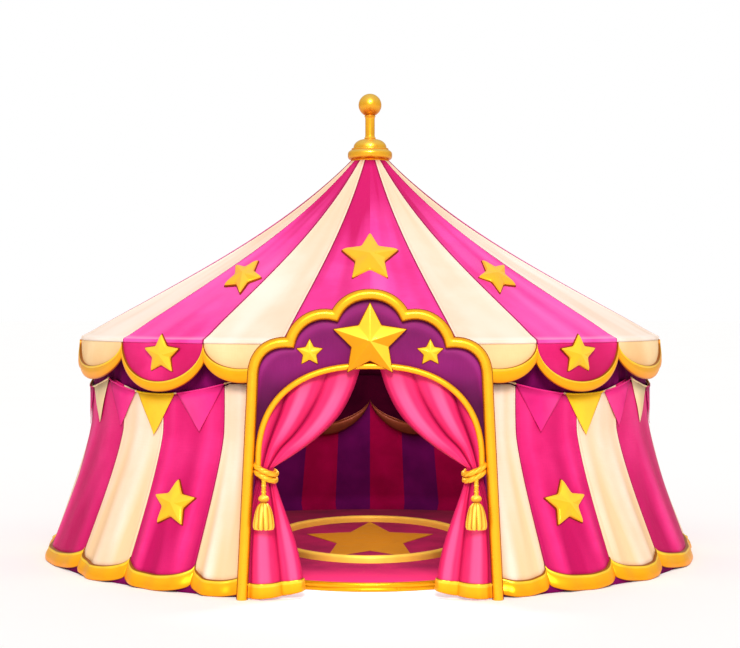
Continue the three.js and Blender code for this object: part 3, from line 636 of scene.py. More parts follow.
# Each finish: its function, the real material, its colours and its numbers, in the function's order.
# A colour is an sRGB hex value, or the name of one that a user may change.
FINISHES = {
    "pink": (canvas, "Pink proofed canvas", "pink c41862 fb64b6 8e0e44", 0.026, 0.0),
    "cream": (canvas, "Cream proofed canvas", "cream e9c5a6 fae9dc b06a48", 0.002, 0.15),
    "wall_pink": (canvas, "Pink wall canvas", "e32574 b30f54 f84898 8e0e44", 0.014, 0.0),
    "wall_cream": (canvas, "Cream wall canvas", "cream e8c094 fbe9d4 b06a48", 0.003, 0.05),
    "hanging_cream": (canvas, "Cream valance canvas", "f9d49c e8b074 fde6bc b06a48", 0.0, 0.0),
    "hanging_pink": (canvas, "Pink valance canvas", "df2270 ac1048 fb489a 9c1048", 0.0, 0.0),
    "under": (plain_cloth, "Maroon roof lining", "40041f 2c0216", 0.9, 0.01),
    "maroon": (plain_cloth, "Maroon cotton", "maroon 620a44"),
    "crimson": (plain_cloth, "Crimson wall lining", "ae084c 94073e"),
    "violet": (plain_cloth, "Violet wall lining", "701060 5a0c50"),
    "header": (satin, "Purple satin over padding", "purple 78125a a43084 4c0838", 0.5, 0.1),
    "porch": (plain_cloth, "Purple porch canvas", "b0308c 8e2070", 0.7, 0.04),
    "satin": (satin, "Pink curtain satin", "satin e0205f fa5a90 ae144c", 0.45, 0.2),
    "band": (gold_band, "Padded gold lame", "ffbc1e ffd840 f89c12 8a3c0c"),
    "dull": (gold_band, "Dull gold braid", "68301a 6c341c 5c2618 50181a"),
    "moulding": (gilding, "Gilt painted moulding", "gold amber c86a08 ffc236", 0.5, 0.3, 0.12),
    "star": (gilding, "Gilt pressed tin", "ffc836 fdb826 c86a08 ffc236", 0.15, 0.38, 0.15),
    # Lit and shaded copies of the gilt: the shaded and lower sides are painted shade, given to the facets that turn
    # away from the light
    "star_shade": (gilding, "Gilt pressed tin, shaded side", "fcba28 f8ac20 c86a08 ffc236", 0.15, 0.42, 0.1),
    "star_deep": (gilding, "Gilt pressed tin, lower side", "ea9818 de8a12 c86a08 ffc236", 0.15, 0.42, 0.1),
    "backing": (gilding, "Dark gilt backing", "8f3f0c 6e2a0a c86a08 ffc236", 0.3, 0.5, 0.0),
    "brass": (gilding, "Lacquered brass", "ffbc2a fca81a cc6e0a ffe070", 0.7, 0.33, 0.4, 0.0, 0.0),
    "inlay": (gilding, "Gold floor paint", "d08a20 b8701c c86a08 ffc236", 0.1, 0.5, 0.05, 0.3),
    "ring": (gilding, "Gilt ring", "fdcc54 f0ac38 c86a08 ffc236", 0.15, 0.45, 0.05),
    "thread": (gold_thread, "Twisted gold thread", "fabb20 ee9a10 b5620a ffdc5a"),
    "carpet": (carpet, "Crimson pile carpet", "b01450 8c0a42 e62c6c"),
    "boards": (boards, "Painted pine boards", "541038 380a26"),
    "flag_pink": (plain_cloth, "Pink flag cotton", "f2368a da2374", 0.6),
    "flag_yellow": (plain_cloth, "Yellow flag cotton", "fdca26 f6b417", 0.6),
    "flag_cream": (plain_cloth, "Cream flag cotton", "ffe6b8 fbd6a0", 0.6),
    "string": (plain_cloth, "Cotton string", "f3d6a8 d9a86a", 0.8, 0.1, 200.0),
    "studio": (floor_paint, "Pale matt studio floor", "fefefe ffffff"),
}
MADE = {}


def finish(name):
    """The named finish, made when it is first asked for."""
    if name not in MADE:
        make, label, tones, *numbers = FINISHES[name]
        chosen = bpy.context.scene.tent_colours
        colours = [list(getattr(chosen, tone)) if hasattr(chosen, tone) else linear(tone) for tone in tones.split()]
        MADE[name] = make(label, *colours, *numbers)
    return MADE[name]


# Canvas gores


def across(u, count, width):
    """The share of a gore's width at a column, dense beside the seams, and the distance to the nearer seam."""
    i = round(u * count)
    last = len(SEAM_COLUMNS) - 1
    edge = min(SEAM_COLUMNS[-1] / width, 0.25)
    near = min(i, count - i)
    if near <= last:
        share = edge * SEAM_COLUMNS[near] / SEAM_COLUMNS[-1]
        if i > near:
            share = 1 - share
    else:
        share = edge + (1 - 2 * edge) * (i - last) / (count - 2 * last)
    return share, min(share, 1 - share) * width


def welt(gap, sizes):
    """How far a sewn seam stands up, at a distance from it: a flat fold with a groove in its middle."""
    fold = 1 - smooth(sizes.seam_width * 0.75, sizes.seam_width, gap)
    return sizes.seam_height * fold * smooth(-0.001, 0.006, gap)


def ruffle(point, across_size, up_size, depth, seed):
    """Soft unevenness of hung cloth."""
    spot = Vector((point.x / across_size, point.y / across_size, point.z / up_size + seed))
    return depth * noise.noise(spot)


def roof_profile(rows):
    """Radius, height and normal of the roof from under its folded eave up to the crown."""
    fold = 0.03
    points = [(EAVE_RADIUS + fold, EAVE_HEIGHT - 0.062), (EAVE_RADIUS + fold, EAVE_HEIGHT - 0.045)]
    lean = math.atan(ROOF_RISE * (1 - ROOF_SAG) / (EAVE_RADIUS - CROWN_RADIUS))
    centre = (EAVE_RADIUS, EAVE_HEIGHT - 0.012 - fold * math.cos(lean))
    points += rounded(centre, fold, 0, 90 - math.degrees(lean))[1:]
    edge = points[-1][0]
    for i in range(1, rows + 1):
        radius = mix(edge, CROWN_RADIUS, i / rows) if i < rows else CROWN_RADIUS
        drop = 0.012 * (1 - smooth(0.0, 0.12, i / rows))
        points.append((radius, roof_height(radius) - drop))
    made = []
    for i, (radius, height) in enumerate(points):
        before, after = points[max(0, i - 1)], points[min(len(points) - 1, i + 1)]
        ahead = Vector((after[0] - before[0], after[1] - before[1])).normalized()
        made.append((radius, height, Vector((ahead.y, -ahead.x))))
    return made


def roof_angle(seam, ahead):
    """A roof seam's angle. The side stripe is wider above the eave than at it."""
    if abs(seam) in (79, 101):
        return math.copysign(abs(seam) + (ahead if abs(seam) > 90 else -ahead), seam)
    return seam


def roof_gore(bm, start, end, material, sizes, rows=34, columns=30):
    """One stripe of the roof, which sags a little between its seams.

    The double stripe over the doorway has a plain fold at 0.
    """
    profile = roof_profile(rows)
    last = len(profile) - 1
    run = [0.0]
    for a, b in zip(profile, profile[1:]):
        run.append(run[-1] + math.dist(a[:2], b[:2]))

    def place(u, v):
        i = round(v * last)
        radius, height, normal = profile[i]
        up = run[i]
        width = radius * math.radians(end - start)
        share, sewn = across(u, columns, width)
        ahead = 1.2 * smooth(0.0, 0.5, up) + 2.6 * up
        degrees = mix(roof_angle(start, ahead), roof_angle(end, ahead), share)
        if 0 in (start, end):
            sewn = share * width if end == 0 else (1 - share) * width
        spot = polar(degrees, radius, height)
        out = welt(sewn, sizes)
        if abs(start + end) != 180:
            free = smooth(0.0, 1.0, up) * smooth(0.0, 0.8, run[-1] - up)
            bow = share * (1 - share)
            sag = sizes.gore_sag * width * 4 * bow * (0.25 + 0.75 * free)
            out += ruffle(spot, 0.9, 0.5, 0.014, 3.7) * min(1.0, 12 * bow) * free
            out -= sag * smooth(0.02, 0.2, up) * (free > 0)
        # Painted shade under the crown, and long soft streaks down from it, some darker and some paler
        top = smooth(2.0, 4.4, up)
        streak = noise.noise(Vector((degrees * 0.22, up * 0.5, 7.3)))
        fold = -0.9 * top - 0.4 * smooth(0.05, 0.5, streak) + 0.5 * smooth(0.05, 0.6, -streak) * (1 - top)
        # The left side of the doorway's stripe turns away from the light
        fold -= (0.2 + 0.4 * top) * (end == 0)
        # Painted light, paler towards the sides of the tent below the crown
        fold += 0.7 * smooth(15, 60, min(abs(degrees), 180 - abs(degrees))) * (1 - top)
        return polar(degrees, radius + out * normal.x, height + out * normal.y), (sewn, up), fold

    patch(bm, columns, last, place, material)


def wall_angle(seam, height):
    """A seam's angle at a height. The seams at the doorway lean with the porch."""
    from_door = min(abs(seam), 360 - abs(seam))
    if from_door < 20:
        return math.copysign(door_angle(height, wall_radius(height)), seam)
    near = min(from_door, 180 - from_door)
    foot, head = SEAM_LEAN[min(SEAM_LEAN, key=lambda known: abs(known - near))] if near > 20 else (0.0, 0.0)
    lean = mix(foot, -head, smooth(0.0, 2.3, height)) * (1 if from_door < 90 else -1)
    return seam + lean * (1 if abs(seam) <= 180 else -1) * (1 if seam > 0 else -1)


def hem_top(share, sizes):
    """The height of the hem's lip, highest at the seams."""
    return sizes.hem_height + sizes.hem_top_rise * (1 - fullness(share))


def hem_foot(share, sizes):
    """The height of the hem's foot, on the ground but at the seams."""
    return sizes.hem_foot_rise * (1 - fullness(share))


def wall_folds(share, height, seed, sizes):
    """How far the wall stands out, and its painted shade: each stripe bellies between its seams, more so at its
    foot, with painted shade in the folds' valleys, beside the seams low down and over the lower wall, and a little
    painted highlight on the crests.
    """
    low = 1 - smooth(0.0, 2.2, height)
    inner = min(1.0, 6 * share * (1 - share)) if 0 < share < 1 else 0.0
    drift = 0.05 * math.sin(1.7 * height + seed)
    wave = math.cos(math.tau * (1.6 * (share + drift) + 0.37 * seed))
    small = math.cos(math.tau * (3.1 * (share - drift) + 0.21 * seed))
    folds = (0.65 * wave + 0.35 * small) * inner
    out = sizes.wall_belly * (hump(share, 0.7) - 0.75) * (0.1 + 0.9 * low)
    out += sizes.wall_wave * folds * (0.25 + 0.75 * low)
    return out, (folds - 0.5) * (0.35 + 0.65 * low) - 0.3 * (1 - inner) * low - 0.25 * low


def string_height(degrees):
    """The height of the bunting's string at an angle, and of the wall's top edge behind it."""
    place = (abs(degrees) % 360 - FIRST_FLAG) / SWAG
    if not 0 <= place <= SWAGS:
        return STRING_TOP
    share = place - math.floor(place)
    return STRING_TOP - 4 * STRING_SAG * share * (1 - share)


def wall_gore(bm, start, end, material, seed, sizes, rows=32, columns=36):
    """One stripe of the wall, from its scalloped hem up to the string of flags."""
    width = WALL_HEAD_RADIUS * math.radians(abs(end - start))

    def place(u, v):
        share, gap = across(u, columns, width)
        foot = hem_top(share, sizes) - 0.02
        top = string_height(mix(start, end, share)) - 0.01
        height = mix(foot, top, 1 - (1 - v) ** 1.15)
        radius = wall_radius(height)
        degrees = mix(wall_angle(start, height), wall_angle(end, height), share)
        out, fold = wall_folds(share, height, seed, sizes)
        soft = ruffle(polar(degrees, radius, height), 0.35, 1.1, 0.008, seed)
        soft *= min(1.0, 10 * share * (1 - share)) * (1 - 0.7 * smooth(1.5, 2.1, height))
        # Painted light, paler from the sides of the tent round to the back
        fold += 0.2 * smooth(50, 75, min(abs(degrees), 360 - abs(degrees)))
        return polar(degrees, radius + out + welt(gap, sizes) + soft, height), (gap, height), fold

    patch(bm, columns, rows, place, material)


def lip_section(depth, lip):
    """Stations across a padded gold band, from its lip down: share of its width and how far it stands out."""
    raised = ((0.0, 0.0), (0.005, 0.7), (0.04, 1.0), (0.10, 1.08), (0.16, 1.0), (0.20, 0.62))
    padded = ((0.25, 0.66), (0.36, 0.9), (0.52, 1.0), (0.70, 0.94), (0.85, 0.74), (0.95, 0.42), (1.0, 0.0))
    return [(share, lip * out) for share, out in raised] + [(share, depth * out) for share, out in padded]


def band(bm, columns, section, place, back=-0.012):
    """A padded band: a front that follows its section and a flat back.

    Place gives a point and its distance along the band, for a column, a share of the width and a depth.
    """
    stations = [*section, (1.0, back), (0.5, back), (0.0, back), section[0]]
    last = len(stations) - 1

    def spot(u, v):
        share, out = stations[round(v * last)]
        point, run = place(u, share, out)
        return point, (run, share)

    verts = patch(bm, columns, last, spot)
    bmesh.ops.remove_doubles(bm, verts=verts, dist=WELD / 10)
    cap(bm)


def stripes_between(seams, first_pink):
    """Stripes on the right as start, end and whether they are pink, from the doorway round to the back."""
    return [(a, b, (i % 2 == 0) == first_pink) for i, (a, b) in enumerate(zip(seams, seams[1:]))]


ROOF_STRIPES = [(0, 15, True), *stripes_between(ROOF_SEAMS[:8], False), (165, 180, True)]
WALL_STRIPES = stripes_between((19, *WALL_SEAMS), False)
SCALLOPS = [(*s, d) for s, d in zip(stripes_between(ROOF_SEAMS, False), SCALLOP_DROPS)]


def panels(stripes, front_end, side_end):
    """The stripes of each packed panel, by the end of its name."""
    slack = 1e-6
    right = [s for s in stripes if s[1] <= 180 + slack]
    middle = [s for s in stripes if s[0] < 180 < s[1]]
    front = [s for s in right if s[1] <= front_end + slack]
    side = [s for s in right if s[0] >= front_end - slack and s[1] <= side_end + slack]
    rear = [s for s in right if s[0] >= side_end - slack]
    turn = [(360 - s[1], 360 - s[0], *s[2:]) for s in rear]
    made = {"rear": [*rear, *middle, *turn], "front_right": front, "side_right": side}
    for name, found in (("front_left", front), ("side_left", side)):
        made[name] = [(-s[1], -s[0], *s[2:]) for s in found]
    return {name: found for name, found in made.items() if found}


def frame_line(steps=14):
    """The portal frame's centre line, from the right foot over its five lobes to the left foot."""
    shoulder = POST_FOOT - POST_SPLAY * POST_HEIGHT
    lobes = (
        ((shoulder, POST_HEIGHT), (1.405, 2.99), (1.24, 3.14), (0.97, 3.116)),
        ((0.97, 3.116), (0.93, 3.33), (0.70, 3.52), (0.423, 3.443)),
        ((0.423, 3.443), (0.34, 3.625), (0.17, 3.7015), (0.0, 3.7015)),
    )
    right = [(POST_FOOT - POST_SPLAY * POST_HEIGHT * i / 8, POST_HEIGHT * i / 8) for i in range(8)]
    for a, b, c, d in lobes:
        for t in [i / steps for i in range(steps)]:
            pull = ((1 - t) ** 3, 3 * t * (1 - t) ** 2, 3 * t * t * (1 - t), t**3)
            right.append(tuple(sum(p * spot[k] for p, spot in zip(pull, (a, b, c, d))) for k in (0, 1)))
    right.append(lobes[-1][-1])
    return right + [(-x, z) for x, z in reversed(right[:-1])]


def star_mesh(bm, radius, waist, height, edge, bevel, flat=False):
    """A five-pointed star that faces -Y, with its back at 0, raised to its middle unless it is flat."""
    verts = bmesh.ops.create_circle(bm, cap_ends=True, segments=10, radius=radius)["verts"]
    for vert in verts:
        turn = math.atan2(vert.co.x, vert.co.y)
        if round(turn / (math.pi / 5)) % 2:
            vert.co *= waist
    face = verts[0].link_faces[0]
    if face.normal.z < 0:
        face.normal_flip()
    up = bmesh.ops.extrude_face_region(bm, geom=[face])["geom"]
    bmesh.ops.delete(bm, geom=[face], context="FACES_ONLY")
    top_verts = [g for g in up if isinstance(g, bmesh.types.BMVert)]
    top_face = next(g for g in up if isinstance(g, bmesh.types.BMFace))
    bmesh.ops.translate(bm, verts=top_verts, vec=(0, 0, edge))
    if not flat:
        poked = bmesh.ops.poke(bm, faces=[top_face])
        poked["verts"][0].co = (0, 0, height)
    edges = [e for e in bm.edges if not e.is_boundary]
    bmesh.ops.bevel(
        bm, geom=edges, offset=bevel, affect="EDGES", segments=4, profile=0.5, material=-1, clamp_overlap=True
    )
    cap(bm)
    for face in bm.faces:
        face.smooth = True
    bmesh.ops.recalc_face_normals(bm, faces=bm.faces)
    tip_up = Matrix.Rotation(math.pi / 2, 3, "X")
    bmesh.ops.rotate(bm, verts=bm.verts, cent=(0, 0, 0), matrix=tip_up)


# Sizes and colours


def metres(name, description, default):
    """A size that a user may change."""
    return bpy.props.FloatProperty(name=name, description=description, default=default, unit="LENGTH")


def colour(name, description, code):
    """A colour that a user may change."""
    return bpy.props.FloatVectorProperty(
        name=name, description=description, subtype="COLOR", size=4, default=linear(code)
    )


class TentSizes(bpy.types.PropertyGroup):
    """Sizes of the cloth and trim that a user may change."""

    seam_width: metres("Seam width", "Half the width of a sewn seam", 0.040)
    seam_height: metres("Seam height", "How far a sewn seam stands up", 0.007)
    gore_sag: bpy.props.FloatProperty(
        name="Roof sag", description="Sag of a roof stripe, as a share of its width", default=0.030
    )
    canvas: metres("Canvas", "Thickness of the canvas as drawn", 0.008)
    wall_belly: metres("Wall belly", "How far a wall stripe bellies out at its foot", 0.085)
    wall_wave: metres("Wall folds", "Depth of the soft folds in a wall stripe", 0.024)
    hem_height: metres("Hem height", "Height of the gold hem in the middle of a stripe", 0.19)
    hem_top_rise: metres("Hem top rise", "How much higher the hem's lip is at a seam", 0.15)
    hem_foot_rise: metres("Hem foot rise", "How far the hem's foot lifts at a seam", 0.11)
    band_depth: metres("Band depth", "How far the padded gold bands stand out", 0.030)
    curtain_fold: metres("Curtain folds", "Depth of the curtains' folds", 0.085)


class TentColours(bpy.types.PropertyGroup):
    """Colours that a user may change."""

    pink: colour("Pink", "Pink canvas", "f644a2")
    cream: colour("Cream", "Cream canvas", "f1d4bd")
    gold: colour("Gold", "Gold trim", "ffb616")
    amber: colour("Amber", "Shade of the gold", "f79a0c")
    purple: colour("Purple", "Header panel", "881a66")
    satin: colour("Satin", "Curtains", "ec2868")
    maroon: colour("Maroon", "Head band", "8a1060")


# Operators


class TENT_OT_finial(bpy.types.Operator):
    """Turn the crown's cap, post and ball in lacquered brass"""

    bl_idname = "tent.finial"
    bl_label = "Finial"

    def execute(self, context):
        base = roof_height(CROWN_RADIUS)
        # A fat round flange with a thin bead on it
        flange = [(0.0, 0.0), (0.285, 0.0), (0.292, 0.006)]
        turns = [math.pi * i / 14 for i in range(15)]
        flange += [(0.327 * (1 - 0.14 * (1 - math.sin(t)) ** 2), 0.02 + 0.15 * (t / math.pi)) for t in turns]
        flange += [(0.268, 0.178), *rounded((0.262, 0.186), 0.012, -60, 90, 8), (0.25, 0.2), (0.0, 0.2)]
        turns = [math.pi / 2 * i / 12 for i in range(13)]
        dome = [(0.0, 0.0), (0.244, 0.0)]
        dome += [(0.081 + 0.163 * math.cos(t), 0.004 + 0.128 * math.sin(t)) for t in turns]
        dome += [(0.079, 0.136), (0.0, 0.137)]
        post = [(0.0, 0.0), (0.080, 0.0), (0.084, 0.006), (0.084, 0.018), (0.072, 0.030), (0.070, 0.05)]
        post += [(0.070, 0.298), (0.073, 0.318), (0.081, 0.327), (0.081, 0.338), (0.074, 0.346), (0.0, 0.347)]
        ball_radius, post_radius = 0.169, 0.073
        seat = math.asin(post_radius / ball_radius)
        middle = ball_radius * math.cos(seat)
        turns = [mix(seat, math.pi, i / 24) for i in range(24)]
        ball = [(0.0, 0.0005)]
        ball += [(ball_radius * math.sin(t), middle - ball_radius * math.cos(t)) for t in turns]
        ball += [(0.0, middle + ball_radius)]
        parts = {
            "crown_flange": (flange, base),
            "crown_dome": (dome, base + 0.2),
            "finial_post": (post, base + 0.3365),
            "finial_ball": (ball, base + 0.3365 + 0.347),
        }
        for node, (profile, low) in parts.items():
            bm = bmesh.new()
            turned(bm, [(radius, low + height) for radius, height in profile], 64)
            solid(bm, node + "_turned", "brass", node, sharp=35)
        return {"FINISHED"}


class TENT_OT_roof(bpy.types.Operator):
    """Sew the roof from pink and cream gores over a maroon lining"""

    bl_idname = "tent.roof"
    bl_label = "Roof canvas"

    def execute(self, context):
        sizes = context.scene.tent_sizes
        for side, stripes in panels(ROOF_STRIPES, 51, 129).items():
            bm = bmesh.new()
            for start, end, pink in stripes:
                roof_gore(bm, start, end, 0 if pink else 1, sizes)
            name = "roof_canvas_" + side
            piece = cloth(
                bm, name, "pink cream under under", "roof_" + side, sizes.canvas, lining=2
            )
            turn = math.radians(sum(s[1] - s[0] for s in stripes))
        return {"FINISHED"}


class TENT_OT_valance(bpy.types.Operator):
    """Hang the scalloped valance below the eave, with its padded gold edging"""

    bl_idname = "tent.valance"
    bl_label = "Valance"

    def execute(self, context):
        sizes = context.scene.tent_sizes
        top = EAVE_HEIGHT - 0.045
        cusp = 0.06
        outer = EAVE_RADIUS + 0.028
        side_room = 0.075
        for side, scallops in panels(SCALLOPS, 79, 79).items():
            hanging, trim = bmesh.new(), bmesh.new()
            for start, end, pink, drop in scallops:
                half = math.radians(abs(end - start)) / 2 * outer

                def hang(u, v):
                    share = cosine(u)
                    foot = EAVE_HEIGHT - cusp - (drop - cusp) * fullness(share) - 0.03
                    height = mix(foot, top, v)
                    degrees = mix(start, end, share)
                    puff = 0.022 * hump(share) * (1 - smooth(0.0, 0.5, v - 0.3))
                    gap = min(share, 1 - share) * 2 * half
                    spot = polar(degrees, outer + puff, height)
                    soft = ruffle(spot, 0.25, 0.6, 0.006, 9.1) * (1 - smooth(0.5, 0.85, v))
                    soft -= 0.006 * smooth(0.7, 1.0, v)
                    # Painted shade and light in soft patches, with more painted shade towards the foot of the
                    # scallop
                    fold = 0.7 * noise.noise(Vector((spot.x * 1.6, spot.y * 1.6, spot.z * 0.7))) - 0.5 * (1 - v)
                    return polar(degrees, outer + puff + soft, height), (gap + 0.05, height), fold

                patch(hanging, 28, 12, hang, 0 if pink else 1)
                foot_room = 0.135 if pink else 0.185
                limit = math.asin(half / (half + side_room))

                def edge(u, share, out):
                    turn = mix(-math.pi / 2, math.pi / 2, u)
                    inner = Vector((half * math.sin(turn), (cusp - drop) * math.cos(turn)))
                    wide = turn * limit / (math.pi / 2)
                    reach = Vector(((half + side_room) * math.sin(wide), (cusp - drop - foot_room) * math.cos(wide)))
                    flat = inner.lerp(reach, share)
                    edge_on = 1 - 0.35 * abs(math.sin(turn)) ** 6
                    radius = outer + 0.010 + 0.018 * math.cos(turn) + out * edge_on
                    degrees = (start + end) / 2 + math.degrees(flat.x / outer)
                    return polar(degrees, radius, EAVE_HEIGHT - cusp + flat.y), turn * half

                band(trim, 44, lip_section(sizes.band_depth, sizes.band_depth * 0.85), edge, back=-0.016)
            name = side.replace("side_", "front_")
            looks = "hanging_pink hanging_cream under under"
            piece = cloth(
                hanging, "valance_cloth_" + name, looks, "valance_" + name, sizes.canvas, lining=2
            )
            edging = solid(trim, "valance_band_" + name, "band", "valance_trim_" + name, sharp=50)
            wide = sum(math.radians(abs(s[1] - s[0])) for s in scallops) * outer
        return {"FINISHED"}


class TENT_OT_wall(bpy.types.Operator):
    """Hang the flared wall in pink and cream stripes, with its scalloped gold hem and a ground strip"""

    bl_idname = "tent.wall"
    bl_label = "Wall canvas"

    def execute(self, context):
        sizes = context.scene.tent_sizes
        farthest = 4.72
        hem, strip = bmesh.new(), bmesh.new()
        section = lip_section(sizes.band_depth * 1.1, sizes.band_depth * 0.9)
        seeds = {}
        for i, (start, end, _) in enumerate(WALL_STRIPES):
            seeds[start, end] = seeds[-end, -start] = seeds[360 - end, 360 - start] = i + 1.0
        for side, stripes in panels(WALL_STRIPES, 56.6, 123.4).items():
            bm = bmesh.new()
            for start, end, pink in stripes:
                seed = seeds[start, end]
                wall_gore(bm, start, end, 0 if pink else 1, seed, sizes)
                width = math.radians(abs(end - start)) * (WALL_HEAD_RADIUS + WALL_FOOT_RADIUS) / 2

                def edge(u, share, out):
                    at = cosine(u)
                    height = mix(hem_top(at, sizes), hem_foot(at, sizes), share)
                    degrees = mix(wall_angle(start, height), wall_angle(end, height), at)
                    # The section stands out along the wall's slope, and is thinner in the seams.
                    full = 0.55 + 0.45 * smooth(0.0, 0.10, min(at, 1 - at))
                    stand = wall_folds(at, height, seed, sizes)[0] + 0.012 + out * full
                    radius = min(wall_radius(height) + stand, farthest)
                    return polar(degrees, radius, max(0.0, height - 0.12 * out)), at * width

                band(hem, 36, section, edge, back=-0.02)

                def behind(u, v):
                    height = 0.24 * v
                    degrees = mix(wall_angle(start, height), wall_angle(end, height), u)
                    return polar(degrees, wall_radius(height) - 0.055, height + 0.002), (u * width, height)

                patch(strip, 10, 2, behind)
            looks = "wall_pink wall_cream under under"
            piece = cloth(
                bm, "wall_canvas_" + side, looks, "wall_" + side, sizes.canvas, lining=2
            )
        piece = solid(hem, "hem_band", "band", "wall_hem", sharp=50)
        piece = cloth(strip, "ground_strip", "maroon", "", 0.006, sharp=50)
        return {"FINISHED"}


class TENT_OT_head_band(bpy.types.Operator):
    """Pleat the dark band between the valance and the wall, and the piece over the porch"""

    bl_idname = "tent.head_band"
    bl_label = "Head band"

    def execute(self, context):
        edge = door_angle(WALL_TOP, WALL_HEAD_RADIUS)
        pleats, drift = 90, 37

        def pleated(u, v):
            degrees = mix(edge, 360 - edge, u)
            height = mix(WALL_TOP - 0.03, EAVE_HEIGHT - 0.06, v)
            deep = 0.012 * math.cos(math.tau * pleats * u) + 0.006 * math.cos(math.tau * drift * u + 1)
            radius = WALL_HEAD_RADIUS - 0.045 + deep * (1 - 0.5 * v)
            return polar(degrees, radius, height), (math.radians(degrees) * radius, height)

        def over_porch(u, v):
            x, z = arch_point(math.pi * (1 - u), PORCH_HALF_WIDTH - 0.01, PORCH_RISE - 0.01)
            radius = WALL_HEAD_RADIUS - 0.012
            height = mix(z, EAVE_HEIGHT - 0.02, v)
            return Vector((x, -math.sqrt(radius**2 - x * x), height)), (x, height)

        piece = self.strip("head_band_pleated", pleats * 8, 5, pleated, "wall_head_band")
        piece = self.strip("head_band_over_porch", 60, 4, over_porch, "wall_head_centre")
        return {"FINISHED"}

    def strip(self, name, columns, rows, place, node):
        """A strip of maroon cotton, lined inside."""
        bm = bmesh.new()
        patch(bm, columns, rows, place)
        return cloth(bm, name, "maroon under", node, 0.006, sharp=40, lining=1)


class TENT_OT_bunting(bpy.types.Operator):
    """String the pennants round the head of the wall in nine swags"""

    bl_idname = "tent.bunting"
    bl_label = "Bunting"

    def execute(self, context):
        count = SWAGS * 3
        step = SWAG / 3
        colours = ("pink", "yellow", "pink", "cream")

        def line(degrees, low=0.0):
            height = string_height(degrees)
            return polar(degrees, wall_radius(height) + STRING_GAP, height - low)

        flags = {name: bmesh.new() for name in ("pink", "yellow", "cream")}
        hems = {name: [] for name in flags}
        for k in range(count):
            name = colours[min(k, count - 1 - k) % 4]
            start, end = FIRST_FLAG + step * (k + 0.03), FIRST_FLAG + step * (k + 0.97)

            def flag(u, v):
                # A triangle, its top edge along the string and its foot at the tip
                degrees = mix((start + end) / 2, mix(start, end, u), max(0.012, v))
                top = line(mix(start, end, mix(0.5, u, v)))
                height = top.z - 0.004 - (FLAG_LENGTH - 0.012) * (1 - v)
                wave = 0.004 * math.sin(2.6 * (1 - v) * math.pi + k) * (1 - v)
                radius = wall_radius(height) + 0.021 + 0.002 * (1 - v) + wave
                radius += 0.006 * math.cos(math.tau * (u - 0.5)) * v
                # Painted shade and light across the flag's ripple, and painted shade along its top under the string
                fold = 0.35 * math.sin(3.0 * (u - 0.5) * v + 1.3 * k) - 0.5 * smooth(0.80, 0.95, v)
                return polar(degrees, radius, height), (u * 0.8 * v, height), fold

            patch(flags[name], 14, 18, flag)
            # The flag's rolled hem, a soft tube along the string
            hems[name].append([line(mix(start, end, i / 10), 0.003) for i in range(11)])

        for name, bm in flags.items():
            look = "flag_" + name
            hem = rope("bunting_hems_" + name, hems[name], 0.012, look)
            node = "bunting" if name == "yellow" else ""
            piece = cloth(bm, "bunting_flags_" + name, look, node, 0.005, sharp=40, offset=0.0)
        steps = 36
        string = [line(FIRST_FLAG + SWAG * i / steps) for i in range(SWAGS * steps + 1)]
        # Its ends rise to the wall's seams beside the doorway
        ends = [polar(degrees, WALL_HEAD_RADIUS + STRING_GAP, 2.68) for degrees in (20.6, -20.6)]
        halfway = [end.lerp(string[i], 0.5) for end, i in zip(ends, (0, -1))]
        path = [ends[0], halfway[0], *string, halfway[1], ends[1]]
        rope("bunting_string", [path], 0.009, "string")
        knots = bmesh.new()
        for k in range(count + 1):
            ball = bmesh.ops.create_icosphere(knots, subdivisions=2, radius=0.016)
            bmesh.ops.translate(knots, verts=ball["verts"], vec=line(FIRST_FLAG + step * k))
        for face in knots.faces:
            face.smooth = True
        solid(knots, "bunting_knots", "string")
        return {"FINISHED"}


